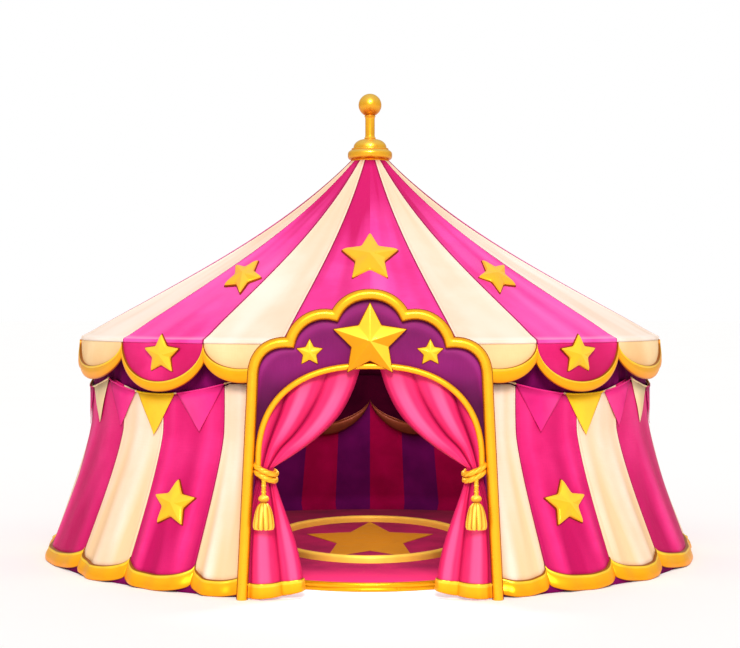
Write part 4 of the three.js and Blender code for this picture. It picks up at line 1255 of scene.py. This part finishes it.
class TENT_OT_portal(bpy.types.Operator):
    """Make the lobed gilt frame, the inner arch, the padded header and the porch"""

    bl_idname = "tent.portal"
    bl_label = "Portal"

    def execute(self, context):
        line = frame_line()
        # A round moulding on a dark, slightly wider back board
        moulding, board, inner = bmesh.new(), bmesh.new(), bmesh.new()
        middle = PORTAL_BACK - FRAME_WIDTH / 2

        def stand(x, z, out):
            return Vector((x, middle - out, max(0.0, z)))

        # Both mouldings carry painted shading: a painted highlight where they stand out and painted shade at their
        # sides
        sweep(moulding, line, rounded((0.0, 0.0), 0.0615, 180, -162, 19), stand, bright=0.55)
        sweep(board, line, [(-0.069, -0.06), (-0.069, -0.012), (0.069, -0.012), (0.069, -0.06)], stand)

        thick = 0.039
        feet = [(side * ARCH_HALF_WIDTH, SPRINGING - 0.1) for side in (1, -1)]
        arch = [arch_point(math.pi * i / 96, ARCH_HALF_WIDTH, ARCH_RISE) for i in range(97)]

        def lean(x, z, out):
            return Vector((x, PORTAL_BACK - thick - out, z))

        path = [feet[0], *arch, feet[1]]
        sweep(inner, path, rounded((0.0, 0.0), thick, 180, -162, 19), lean, bright=0.55)
        solid(moulding, "portal_moulding", "moulding", "portal_frame", sharp=38)
        solid(board, "portal_board", "backing", sharp=38)
        solid(inner, "arch_moulding", "moulding", "portal_arch", sharp=38)
        self.header(line)
        self.porch()
        return {"FINISHED"}

    def header(self, line):
        """The header, quilted out between the frame and the arch."""
        edge = [(x, z) for x, z in line if z > SPRINGING + 0.02]
        angles = [math.atan2(z - SPRINGING, x) for x, z in edge]
        arch = [arch_point(math.pi * i / 400, ARCH_HALF_WIDTH, ARCH_RISE) for i in range(401)]
        arch_angles = [math.atan2(z - SPRINGING, x) for x, z in arch]
        last = len(edge) - 1
        bm = bmesh.new()

        def place(u, v):
            i = round((1 - u) * last)
            nearest = next((k for k, a in enumerate(arch_angles) if a >= angles[i]), len(arch) - 1)
            low, high = Vector(arch[nearest]), Vector(edge[i])
            inset = (high - low).normalized() * 0.04
            flat = low.lerp(high - inset, v)
            width = (high - low).length
            puff = 0.034 * min(1.0, width / 0.35) * (1 - abs(2 * v - 1) ** 3.2)
            # Painted shade deeper towards the top, the outer edge and the two ends, and a painted highlight along
            # the quilting
            fold = mix(0.35, -0.4, smooth(2.3, 3.4, flat.y)) - 0.7 * smooth(0.92, 1.0, v)
            fold -= 1.35 * (1 - smooth(2.38, 2.9, flat.y))
            fold += 0.65 * smooth(0.7, 0.86, v) * (1 - smooth(0.86, 0.94, v)) * min(1.0, width / 0.4)
            return Vector((flat.x, PORTAL_BACK - 0.006 - puff, flat.y)), (flat.x, flat.y), fold

        patch(bm, last, 16, place)
        bmesh.ops.recalc_face_normals(bm, faces=bm.faces)
        if sum(face.normal.y for face in bm.faces) > 0:
            bmesh.ops.reverse_faces(bm, faces=bm.faces)
        piece = cloth(bm, "header_pad", "header", "portal_header", 0.02)

    def porch(self):
        """The short vault that joins the portal to the tent, with shallow folds across it."""
        bm = bmesh.new()
        steps, foot = 64, 10
        total = steps + 2 * foot

        def outline(i):
            if i < foot or i > steps + foot:
                near = i if i < foot else total - i
                height = SPRINGING * near / foot
                x = PORCH_HALF_WIDTH + POST_SPLAY * (SPRINGING - height)
                return (x if i < foot else -x), height
            return arch_point(math.pi * (i - foot) / steps, PORCH_HALF_WIDTH, PORCH_RISE)

        def place(u, v):
            x, z = outline(round(u * total))
            inward = Vector((-x, 0, SPRINGING - z if z > SPRINGING else 0)).normalized()
            sag = 0.02 * math.sin(math.pi * v) + 0.006 * math.cos(math.tau * 3 * v)
            y = mix(PORTAL_BACK + 0.002, PORCH_BACK, v)
            return Vector((x, y, max(0.002, z))) + inward * sag, (u * 7.5, y)

        patch(bm, total, 12, place)
        piece = cloth(bm, "porch_cloth", "violet porch", "porch", 0.012, lining=1)


class TENT_OT_stars(bpy.types.Operator):
    """Press the gilt stars and set them on the header, roof, valance and wall"""

    bl_idname = "tent.stars"
    bl_label = "Stars"

    def execute(self, context):
        # Each star's radius, height in the middle, height at its edge, place and bevel
        header = Matrix.Translation((0, PORTAL_BACK - HEADER_DEPTH, 0))
        self.make("header_star_big", 0.456, 0.19, 0.095, header @ Matrix.Translation((0, 0, 3.135)), 0.010)
        self.pair("header_star", 0.157, 0.068, 0.034, header @ Matrix.Translation((0.732, -0.004, 2.993)), 0.013)
        self.make("roof_star_centre", 0.385, 0.105, 0.058, self.on_roof(0, 2.27, 1.7, 0, 0), 0.026)
        self.pair("roof_star", 0.270, 0.095, 0.052, self.on_roof(39.5, 2.69, 2.0, 37.7, 6), 0.022)
        valance = self.round_tent(39.4, EAVE_RADIUS + 0.034, 2.936) @ Matrix.Diagonal((1.25, 1, 1, 1))
        self.pair("valance_star", 0.25, 0.080, 0.042, valance, 0.020)
        lean = math.atan((wall_radius(0.848) - wall_radius(1.248)) / 0.4)
        wall = self.round_tent(35.3, wall_radius(1.048) + 0.028, 1.048) @ Matrix.Rotation(-lean, 4, "X")
        wall = wall @ Matrix.Translation((0, 0.02, 0)) @ Matrix.Diagonal((1.1, 1, 1, 1))
        self.pair("wall_star", 0.305, 0.098, 0.054, wall, 0.024)
        return {"FINISHED"}

    def round_tent(self, degrees, radius, height):
        """A place at an angle from the doorway, which faces outwards."""
        return Matrix.Translation(polar(degrees, radius, height)) @ Matrix.Rotation(math.radians(degrees), 4, "Z")

    def on_roof(self, degrees, radius, stretch, lean, turn):
        """A star's place on the roof's slope, drawn out along a line so that it looks regular from the front."""
        steep = math.atan((roof_height(radius - 0.01) - roof_height(radius + 0.01)) / 0.02)
        at = self.round_tent(degrees, radius, roof_height(radius)) @ Matrix.Rotation(steep - math.pi / 2, 4, "X")
        drawn = Matrix.Rotation(math.radians(lean), 4, "Y") @ Matrix.Diagonal((1, 1, stretch, 1))
        return at @ Matrix.Translation((0, 0.028, 0)) @ drawn @ Matrix.Rotation(-math.radians(lean + turn), 4, "Y")

    def make(self, node, radius, height, edge, place, bevel, mirror=False):
        """A star pressed from tin, on a dark backing that is a little wider."""
        gilt, backing = bmesh.new(), bmesh.new()
        full = radius + 0.8 * bevel
        star_mesh(gilt, full, 0.504, height, edge, bevel)
        star_mesh(backing, full + 0.014, 0.512, 0, edge * 0.55, bevel * 0.9, flat=True)
        # Painted shade: facets that turn away from a light above and to the right take the shaded gilt
        for face in gilt.faces:
            tilt = 0.45 * face.normal.x * (-1 if mirror else 1) + 0.8 * face.normal.z
            face.material_index = 1 if face.normal.y < -0.3 and tilt < -0.03 else 0
        shaded = "star_deep" if radius > 0.4 else "star_shade"
        for bm, end, looks, shown in ((gilt, "_gilt", "star " + shaded, node), (backing, "_backing", "backing", "")):
            bmesh.ops.transform(bm, verts=bm.verts, matrix=place)
            if mirror:
                bmesh.ops.scale(bm, verts=bm.verts, vec=(-1, 1, 1))
                bmesh.ops.recalc_face_normals(bm, faces=bm.faces)
            solid(bm, node + end, looks, shown, sharp=24)

    def pair(self, node, *sizes):
        self.make(node + "_right", *sizes)
        self.make(node + "_left", *sizes, mirror=True)


# The curtain's fold lines on the right, across and up, from the arch to the tie
UPPER_FOLDS = (
    ((0.10, 2.86), (0.206, 2.529), (0.370, 2.226), (0.606, 1.983), (0.880, 1.777), (1.165, 1.60)),
    ((0.50, 2.86), (0.60, 2.53), (0.74, 2.25), (0.91, 2.01), (1.10, 1.81), (1.225, 1.60)),
    ((0.96, 2.72), (1.03, 2.47), (1.10, 2.24), (1.18, 2.03), (1.25, 1.82), (1.30, 1.60)),
    ((1.30, 2.40), (1.345, 2.24), (1.372, 2.08), (1.385, 1.92), (1.385, 1.76), (1.375, 1.60)),
)
LOWER_FOLDS = (
    ((1.165, 1.47), (1.085, 1.21), (0.990, 0.93), (0.905, 0.66), (0.845, 0.40), (0.80, 0.085)),
    ((1.225, 1.47), (1.195, 1.21), (1.165, 0.93), (1.135, 0.66), (1.105, 0.40), (1.07, 0.03)),
    ((1.300, 1.47), (1.37, 1.21), (1.415, 0.93), (1.435, 0.66), (1.445, 0.40), (1.450, 0.01)),
    ((1.375, 1.47), (1.430, 1.21), (1.460, 0.93), (1.475, 0.66), (1.482, 0.40), (1.490, 0.03)),
)
TIE_Y = -4.45
CURTAIN_WIDTH = 1.9


class TENT_OT_curtains(bpy.types.Operator):
    """Drape the satin curtains, gathered at their tie-backs, with gold hems"""

    bl_idname = "tent.curtains"
    bl_label = "Curtains"

    def execute(self, context):
        deep = context.scene.tent_sizes.curtain_fold
        columns = 108

        def guide(folds, u, v):
            """A point between the fold lines, and how far it is from the valleys."""
            run = u * (len(folds) - 1)
            i = min(len(folds) - 2, int(run))
            return spline([along(line, v) for line in folds], i, run - i), math.sin(math.pi * (run - i))

        def draped(flat, u, tight, back, swell, gather):
            """The point on the cloth, which swells out before its back and wraps round at the tie."""
            fine = 0.006 * math.cos(math.tau * 9 * u + 1.2) * (gather + tight)
            curl = 0.05 * (1 - smooth(0.0, 0.07, u)) * (1 - tight)
            wrap = tight * 0.055 * math.sin(math.pi * u)
            return Vector((flat.x, back - swell - fine - wrap + curl, flat.y))

        def upper(u, v):
            flat, ridge = guide(UPPER_FOLDS, u, v)
            tight = smooth(0.72, 1.0, v)
            swell = deep * (0.55 + 0.55 * smooth(0.0, 0.35, v)) * (1 - 0.45 * tight) * ridge**0.75
            back = mix(-4.372, TIE_Y + 0.02, smooth(0.1, 0.95, v))
            # Painted highlight on the folds' crests, painted shade in their valleys, over the outer fold and along
            # the top under the arch
            crest = smooth(0.75, 1.0, ridge) * math.sin(math.pi * min(1.0, v * 1.25)) * (1 - 0.5 * (u > 0.66))
            fold = 0.8 * crest - smooth(0.55, 0.0, ridge) * (0.4 + 0.6 * smooth(0.0, 0.5, v))
            fold -= 0.45 * smooth(0.6, 0.75, u) + 0.35 * smooth(0.12, 0.0, v)
            return draped(flat, u, tight, back, swell, 0.3), (u * CURTAIN_WIDTH, v * 1.7), fold

        def lower(u, v):
            flat, ridge = guide(LOWER_FOLDS, u, v)
            tight = 1 - smooth(0.0, 0.35, v)
            # Below the tie the middle fold is the fullest, and the outer one is nearly flat
            size = (0.8, 1.25, 0.3)[min(2, int(u * 3))]
            swell = deep * size * mix(1.0, 0.45, tight) * ridge**0.75
            back = mix(TIE_Y + 0.02, mix(-4.36, -4.47, smooth(0.15, 0.6, u)), smooth(0.05, 0.8, v))
            # Painted highlight on the folds' crests, painted shade in their valleys, over the outer fold and just
            # below the tie
            crest = smooth(0.7, 1.0, ridge) * smooth(0.05, 0.5, v) * (1 - (u > 0.66))
            fold = 0.7 * crest - smooth(0.6, 0.0, ridge) * (0.9 - 0.3 * v)
            fold -= 0.8 * smooth(0.62, 0.72, u) + 0.6 * smooth(0.25, 0.0, v)
            return draped(flat, u, tight, back, swell, 0.4), (u * CURTAIN_WIDTH, 1.7 + v * 1.5), fold

        def join(u, v):
            """The gathered waist inside the rope, in painted shade."""
            above, below = upper(u, 1.0)[0], lower(u, 0.0)[0]
            return above.lerp(below, v), (u * CURTAIN_WIDTH, 1.65 + 0.1 * v), -0.8

        def hem(u, share, out):
            v = mix(0.895, 0.998, share)
            run = lower(min(1.0, u + 0.01), v)[0] - lower(max(0.0, u - 0.01), v)[0]
            normal = Vector((run.y, -run.x, 0)).normalized()
            if normal.y > 0:
                normal = -normal
            return lower(u, v)[0] + normal * (out + 0.006), u * CURTAIN_WIDTH

        section = [(0.0, 0.0), (0.01, 0.008), (0.06, 0.012), (0.12, 0.012), (0.15, 0.008)]
        section += [(0.5, 0.010), (0.9, 0.010), (0.97, 0.007), (1.0, 0.0)]
        for side in ("right", "left"):
            bm, edging = bmesh.new(), bmesh.new()
            for rows, place in ((54, upper), (44, lower), (6, join)):
                patch(bm, columns, rows, place)
            band(edging, columns, section, hem)
            if side == "left":
                for part in (bm, edging):
                    bmesh.ops.scale(part, verts=part.verts, vec=(-1, 1, 1))
            outward(bm)
            if sum(face.normal.y * face.calc_area() for face in bm.faces) > 0:
                bmesh.ops.reverse_faces(bm, faces=bm.faces)
            bmesh.ops.recalc_face_normals(edging, faces=edging.faces)
            piece = cloth(bm, "curtain_satin_" + side, "satin", "curtain_" + side, 0.006, sharp=80)
            border = solid(edging, "curtain_band_" + side, "band", "curtain_hem_" + side, sharp=50)
        return {"FINISHED"}


class TENT_OT_tiebacks(bpy.types.Operator):
    """Twist the gold ropes round the curtains, each with a cord, a bead and a tassel"""

    bl_idname = "tent.tiebacks"
    bl_label = "Tie-backs"

    def execute(self, context):
        waist_x, waist_y, half_deep = 1.268, -4.475, 0.112
        for side, sign in (("right", 1), ("left", -1)):
            strands = []
            for height, twist, half_wide in ((1.578, 0.0108, 0.126), (1.502, 0.0102, 0.118)):
                ring = []
                for turn in [math.tau * i / 90 for i in range(90)]:
                    tilt = 0.055 * math.cos(turn) + 0.02 * math.sin(turn)
                    x, y = waist_x + half_wide * math.cos(turn), waist_y + half_deep * math.sin(turn)
                    ring.append(Vector((sign * x, y, height + tilt)))
                strands += twisted(ring, 3, twist, 0.26, cyclic=True)
            rope("tieback_rope_" + side, strands, 0.0262, "thread", sides=5, cyclic=True)
            hang = Vector((sign * 1.282, -4.615, 0))
            cord_top, cord_length = 1.47, 0.205
            drops = [i / 24 for i in range(25)]
            cord = [hang + Vector((0, 0.022 * (1 - d) ** 2, cord_top - cord_length * d)) for d in drops]
            rope("tieback_cord_" + side, twisted(cord, 2, 0.013, 0.07), 0.0165, "thread")
            self.tassel(side, hang)
        return {"FINISHED"}

    def tassel(self, side, hang):
        """A round bead and a full, pleated tassel below it, a little flatter from front to back."""
        bm = bmesh.new()
        turned(bm, bulge(0.066, 1.184, 0.098, 14), 32)
        # Two knots in the cord
        for low in (1.291, 1.361):
            turned(bm, bulge(0.031, low, 0.054, 10), 24)
        profile = [(0.0, 1.188), (0.034, 1.186), (0.058, 1.170), (0.082, 1.138), (0.100, 1.09), (0.114, 1.035)]
        profile += [(0.124, 0.98), (0.131, 0.935), (0.131, 0.905), (0.118, 0.880), (0.08, 0.872), (0.04, 0.876)]
        profile += [(0.0, 0.878)]
        count = len(profile) - 1
        pleats = 11

        def fringe(u, v):
            i = round((1 - v) * count)
            radius, height = profile[i]
            pleat = abs(math.sin(math.pi * pleats * u)) ** 0.7
            radius *= 1 - 0.13 * (1 - pleat) * smooth(1.15, 0.95, height)
            drop = 0.016 * pleat * smooth(0.94, 0.88, height)
            # Painted shade between the pleats and a painted highlight on them
            return polar(360 * u, radius, height - drop), (u, height), 1.6 * pleat - 1 if 0 < i < count else 0.0

        patch(bm, pleats * 8, count, fringe)
        outward(bm)
        bmesh.ops.scale(bm, verts=bm.verts, vec=(1, 0.66, 1))
        bmesh.ops.translate(bm, verts=bm.verts, vec=hang)
        solid(bm, "tieback_tassel_" + side, "thread", "tieback_" + side, sharp=50)


class TENT_OT_lining(bpy.types.Operator):
    """Line the inside of the wall in violet and crimson, with a scalloped pelmet at the back"""

    bl_idname = "tent.lining"
    bl_label = "Lining"

    def execute(self, context):
        self.wall()
        self.pelmet()
        return {"FINISHED"}

    def wall(self):
        """The striped lining, its foot turned in under the edge of the floor."""
        bm = bmesh.new()
        stripe, first = 7.6, 22.0
        seams = [180 + stripe * k for k in range(-20, 21)]
        edges = [first, *(seam for seam in seams if first + 1 < seam < 359 - first), 360 - first]
        for start, end in zip(edges, edges[1:]):

            def hang(u, v):
                height = mix(0.004, WALL_TOP - 0.06, v)
                belly = 0.022 * hump(u) * (0.3 + 0.7 * (1 - v))
                radius = wall_radius(height) - 0.075 - belly if v > 0 else FLOOR_RADIUS - 0.02
                return polar(mix(start, end, u), radius, height), (u * 0.55, height)

            patch(bm, 8, 16, hang, math.floor(((start + end) / 2 - 180) / stripe + 1) % 2)
        bmesh.ops.reverse_faces(bm, faces=bm.faces)
        piece = cloth(bm, "wall_lining", "crimson violet", "", 0.005, sharp=80)

    def pelmet(self):
        """The maroon pelmet, with dull braid along its scallops."""
        scallop, count, width = 22.5, 8, 1.55
        top, cusp, drop = WALL_TOP - 0.04, 0.40, 1.0
        hanging, braid = bmesh.new(), bmesh.new()
        for start in [90 + scallop * k for k in range(count)]:

            def foot(share):
                return top - cusp - (drop - cusp) * hump(share, 0.58)

            def drape(u, v):
                share = cosine(u)
                swell = 0.05 * math.sin(math.pi * share) * math.sin(math.pi * min(1.0, 1.1 * (1 - v)))
                spot = polar(start + scallop * share, 3.905 - swell, mix(foot(share), top, v))
                return spot, (share * width, v)

            def edge(u, share, out):
                at = cosine(u)
                wide = 0.006 + 0.22 * hump(at, 0.55)
                return polar(start + scallop * at, 3.895 - out, foot(at) + wide * (1 - share)), at * width

            patch(hanging, 16, 12, drape)
            band(braid, 20, lip_section(0.008, 0.006), edge, back=-0.008)
        bmesh.ops.reverse_faces(hanging, faces=hanging.faces)
        bmesh.ops.recalc_face_normals(braid, faces=braid.faces)
        piece = cloth(hanging, "pelmet_cloth", "under", "pelmet", 0.005, sharp=80)
        edging = solid(braid, "pelmet_braid", "dull", sharp=50)


class TENT_OT_floor(bpy.types.Operator):
    """Lay the carpet, the ring curb, the star and the threshold"""

    bl_idname = "tent.floor"
    bl_label = "Floor"

    def execute(self, context):
        piece = self.layer("floor_carpet", "carpet", "crimson_carpet", True)
        self.layer("floor_boards", "boards", "purple_panel", False)
        self.ring()
        self.star()
        self.threshold()
        return {"FINISHED"}

    def layer(self, name, look, slot, upper):
        """The carpet or the painted boards below it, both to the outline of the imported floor."""
        carpet_foot = 0.0282
        height = carpet_foot if upper else carpet_foot - 0.0004
        bm = bmesh.new()
        bm.from_mesh(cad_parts["floor"].data)
        bmesh.ops.remove_doubles(bm, verts=bm.verts, dist=WELD)
        bmesh.ops.dissolve_limit(bm, angle_limit=math.radians(0.5), verts=bm.verts, edges=bm.edges)
        bmesh.ops.bisect_plane(
            bm,
            geom=[*bm.verts, *bm.edges, *bm.faces],
            plane_co=(0, 0, height),
            plane_no=(0, 0, 1),
            clear_inner=upper,
            clear_outer=not upper,
        )
        cap(bm)
        low = carpet_foot + 0.005 if upper else 0.02
        level = [e for e in bm.edges if abs(e.verts[0].co.z - e.verts[1].co.z) < 1e-4]
        rim = [e for e in level if all(v.co.z > low for v in e.verts)]
        bmesh.ops.bevel(
            bm, geom=rim, offset=0.004, affect="EDGES", segments=3, profile=0.5, material=-1, clamp_overlap=True
        )
        bmesh.ops.recalc_face_normals(bm, faces=bm.faces)
        return solid(bm, name, look, "floor" if upper else "")

    def ring(self):
        """The gilt curb, a rounded rail on an oval."""
        half_rail = 0.055
        half_across, half_deep = 1.48 - half_rail, 2.30 - half_rail
        turns = [math.tau * i / 96 for i in range(96)]
        oval = [(half_across * math.cos(t), RING_MIDDLE + half_deep * math.sin(t)) for t in turns]
        half = [(half_rail, 0.0), (half_rail, 0.062), (0.052, 0.078), (0.043, 0.091), (0.028, 0.099)]
        section = half + [(-x, z) for x, z in reversed(half)]
        bm = bmesh.new()
        sweep(bm, oval, section, lambda x, y, out: Vector((x, y, FLOOR_TOP + out)), closed=True)
        outward(bm)
        solid(bm, "ring_moulding", "ring", "ring_curb")

    def star(self):
        """The flat star in the ring, laid on its back and drawn out from front to back."""
        bm = bmesh.new()
        star_mesh(bm, 1.0, 0.504, 0, 0.008, 0.002, flat=True)
        bmesh.ops.rotate(bm, verts=bm.verts, cent=(0, 0, 0), matrix=Matrix.Rotation(-math.pi / 2, 3, "X"))
        bmesh.ops.scale(bm, verts=bm.verts, vec=(1.02, 2.17, 1))
        bmesh.ops.translate(bm, verts=bm.verts, vec=(0, RING_MIDDLE, FLOOR_TOP))
        solid(bm, "floor_star_inlay", "inlay", "floor_star", sharp=30)

    def threshold(self):
        """A round nosing over a flat fascia and a foot bead, bowed towards the front."""
        profile = [(0.008, 0.0), (0.002, 0.012), (0.0, 0.024), (0.002, 0.036), (0.009, 0.046), (0.017, 0.050)]
        profile += [(0.017, 0.058), (0.013, 0.064), (0.010, 0.076), (0.012, 0.088), (0.019, 0.097), (0.029, 0.1)]
        profile += [(0.11, 0.1), (0.11, 0.0)]
        last = len(profile)
        bm = bmesh.new()

        def place(u, v):
            x = mix(-1.47, 1.47, u)
            back, height = profile[round(v * last) % last]
            # A little painted shade over the whole moulding
            return Vector((x, -3.95 + 0.30 * x * x + back, height)), (x, back + height), -0.35

        patch(bm, 48, last, place)
        bmesh.ops.remove_doubles(bm, verts=bm.verts, dist=WELD / 10)
        cap(bm)
        bmesh.ops.recalc_face_normals(bm, faces=bm.faces)
        solid(bm, "threshold_moulding", "moulding", "threshold")


# Each lamp: its kind, place, aim, size (degrees or metres), power and colour
LAMPS = {
    "Key": ("SUN", (0.4, -18, 13.5), (0, 0, 2.0), 20.0, 3.0, (1.0, 0.99, 0.975)),
    "Doorway": ("AREA", (0, -3.3, 3.0), (0, -1.9, 0), 1.4, 105, (1.0, 0.9, 0.88)),
    "Inside": ("AREA", (0, 0.6, 3.1), (0, 3.2, 0.6), 3.0, 115, (1.0, 0.86, 0.86)),
}


class TENT_OT_stage(bpy.types.Operator):
    """Set the pale floor, the soft studio light and the camera"""

    bl_idname = "tent.stage"
    bl_label = "Stage"

    def execute(self, context):
        scene = context.scene
        bm = bmesh.new()
        bmesh.ops.create_circle(bm, cap_ends=True, segments=96, radius=400)
        bmesh.ops.translate(bm, verts=bm.verts, vec=(0, 0, -0.002))
        finished(bm, "studio_floor", "studio")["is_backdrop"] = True

        world = bpy.data.worlds.new("Studio light")
        world.use_nodes = True
        tree = world.node_tree
        background = tree.nodes["Background"]
        # The camera sees plain white, and the tent is lit by half of it
        strength = add(tree, "MapRange", add(tree, "LightPath"), 0.0, 1.0, 0.51, 1.0)
        tree.links.new(strength, background.inputs["Strength"])
        background.inputs["Color"].default_value = (1.0, 1.0, 1.0, 1.0)
        scene.world = world
        for name, (kind, spot, aim, size, power, tint) in LAMPS.items():
            light = bpy.data.lights.new(name, kind)
            if kind == "SUN":
                light.angle = math.radians(size)
            else:
                light.shape = "DISK"
                light.size = size
            light.energy = power
            light.color = tint
            lamp = bpy.data.objects.new(name, light)
            lamp.location = spot
            lamp.rotation_euler = (Vector(aim) - Vector(spot)).to_track_quat("-Z", "Y").to_euler()
            scene.collection.objects.link(lamp)

        camera = bpy.data.cameras.new("Camera")
        camera.sensor_width = 36.0
        camera.lens = 36.0 * PHOTO_FOCAL / PHOTO_WIDTH
        camera.shift_y = PHOTO_SHIFT / PHOTO_WIDTH
        camera.clip_end = 1000.0
        eye = bpy.data.objects.new("Camera", camera)
        eye.location = PHOTO_EYE
        eye.rotation_euler = (math.pi / 2, 0, 0)
        scene.collection.objects.link(eye)
        scene.camera = eye
        scene.view_settings.view_transform = "Standard"
        return {"FINISHED"}


PIECES = (
    TENT_OT_stage,
    TENT_OT_finial,
    TENT_OT_roof,
    TENT_OT_valance,
    TENT_OT_wall,
    TENT_OT_head_band,
    TENT_OT_bunting,
    TENT_OT_portal,
    TENT_OT_stars,
    TENT_OT_curtains,
    TENT_OT_tiebacks,
    TENT_OT_lining,
    TENT_OT_floor,
)


class TENT_PT_pieces(bpy.types.Panel):
    """The tent's pieces and sizes"""

    bl_idname = "TENT_PT_pieces"
    bl_label = "Circus tent"
    bl_space_type = "VIEW_3D"
    bl_region_type = "UI"
    bl_category = "Tent"

    def draw(self, context):
        layout = self.layout
        for group in (context.scene.tent_sizes, context.scene.tent_colours):
            for key in group.__annotations__:
                layout.prop(group, key)
        for piece in PIECES:
            layout.operator(piece.bl_idname)


CLASSES = (TentSizes, TentColours, *PIECES, TENT_PT_pieces)


def register():
    for made in CLASSES:
        bpy.utils.register_class(made)
    bpy.types.Scene.tent_sizes = bpy.props.PointerProperty(type=TentSizes)
    bpy.types.Scene.tent_colours = bpy.props.PointerProperty(type=TentColours)


def unregister():
    del bpy.types.Scene.tent_colours
    del bpy.types.Scene.tent_sizes
    for made in reversed(CLASSES):
        bpy.utils.unregister_class(made)


def main():
    register()
    for piece in PIECES:
        group, name = piece.bl_idname.split(".")
        getattr(getattr(bpy.ops, group), name)()
    boxes = {"cad": CAD_BOX, "visual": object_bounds()}
    {name: [list(corner) for corner in box] for name, box in boxes.items()}


if __name__ == "__main__":
    main()
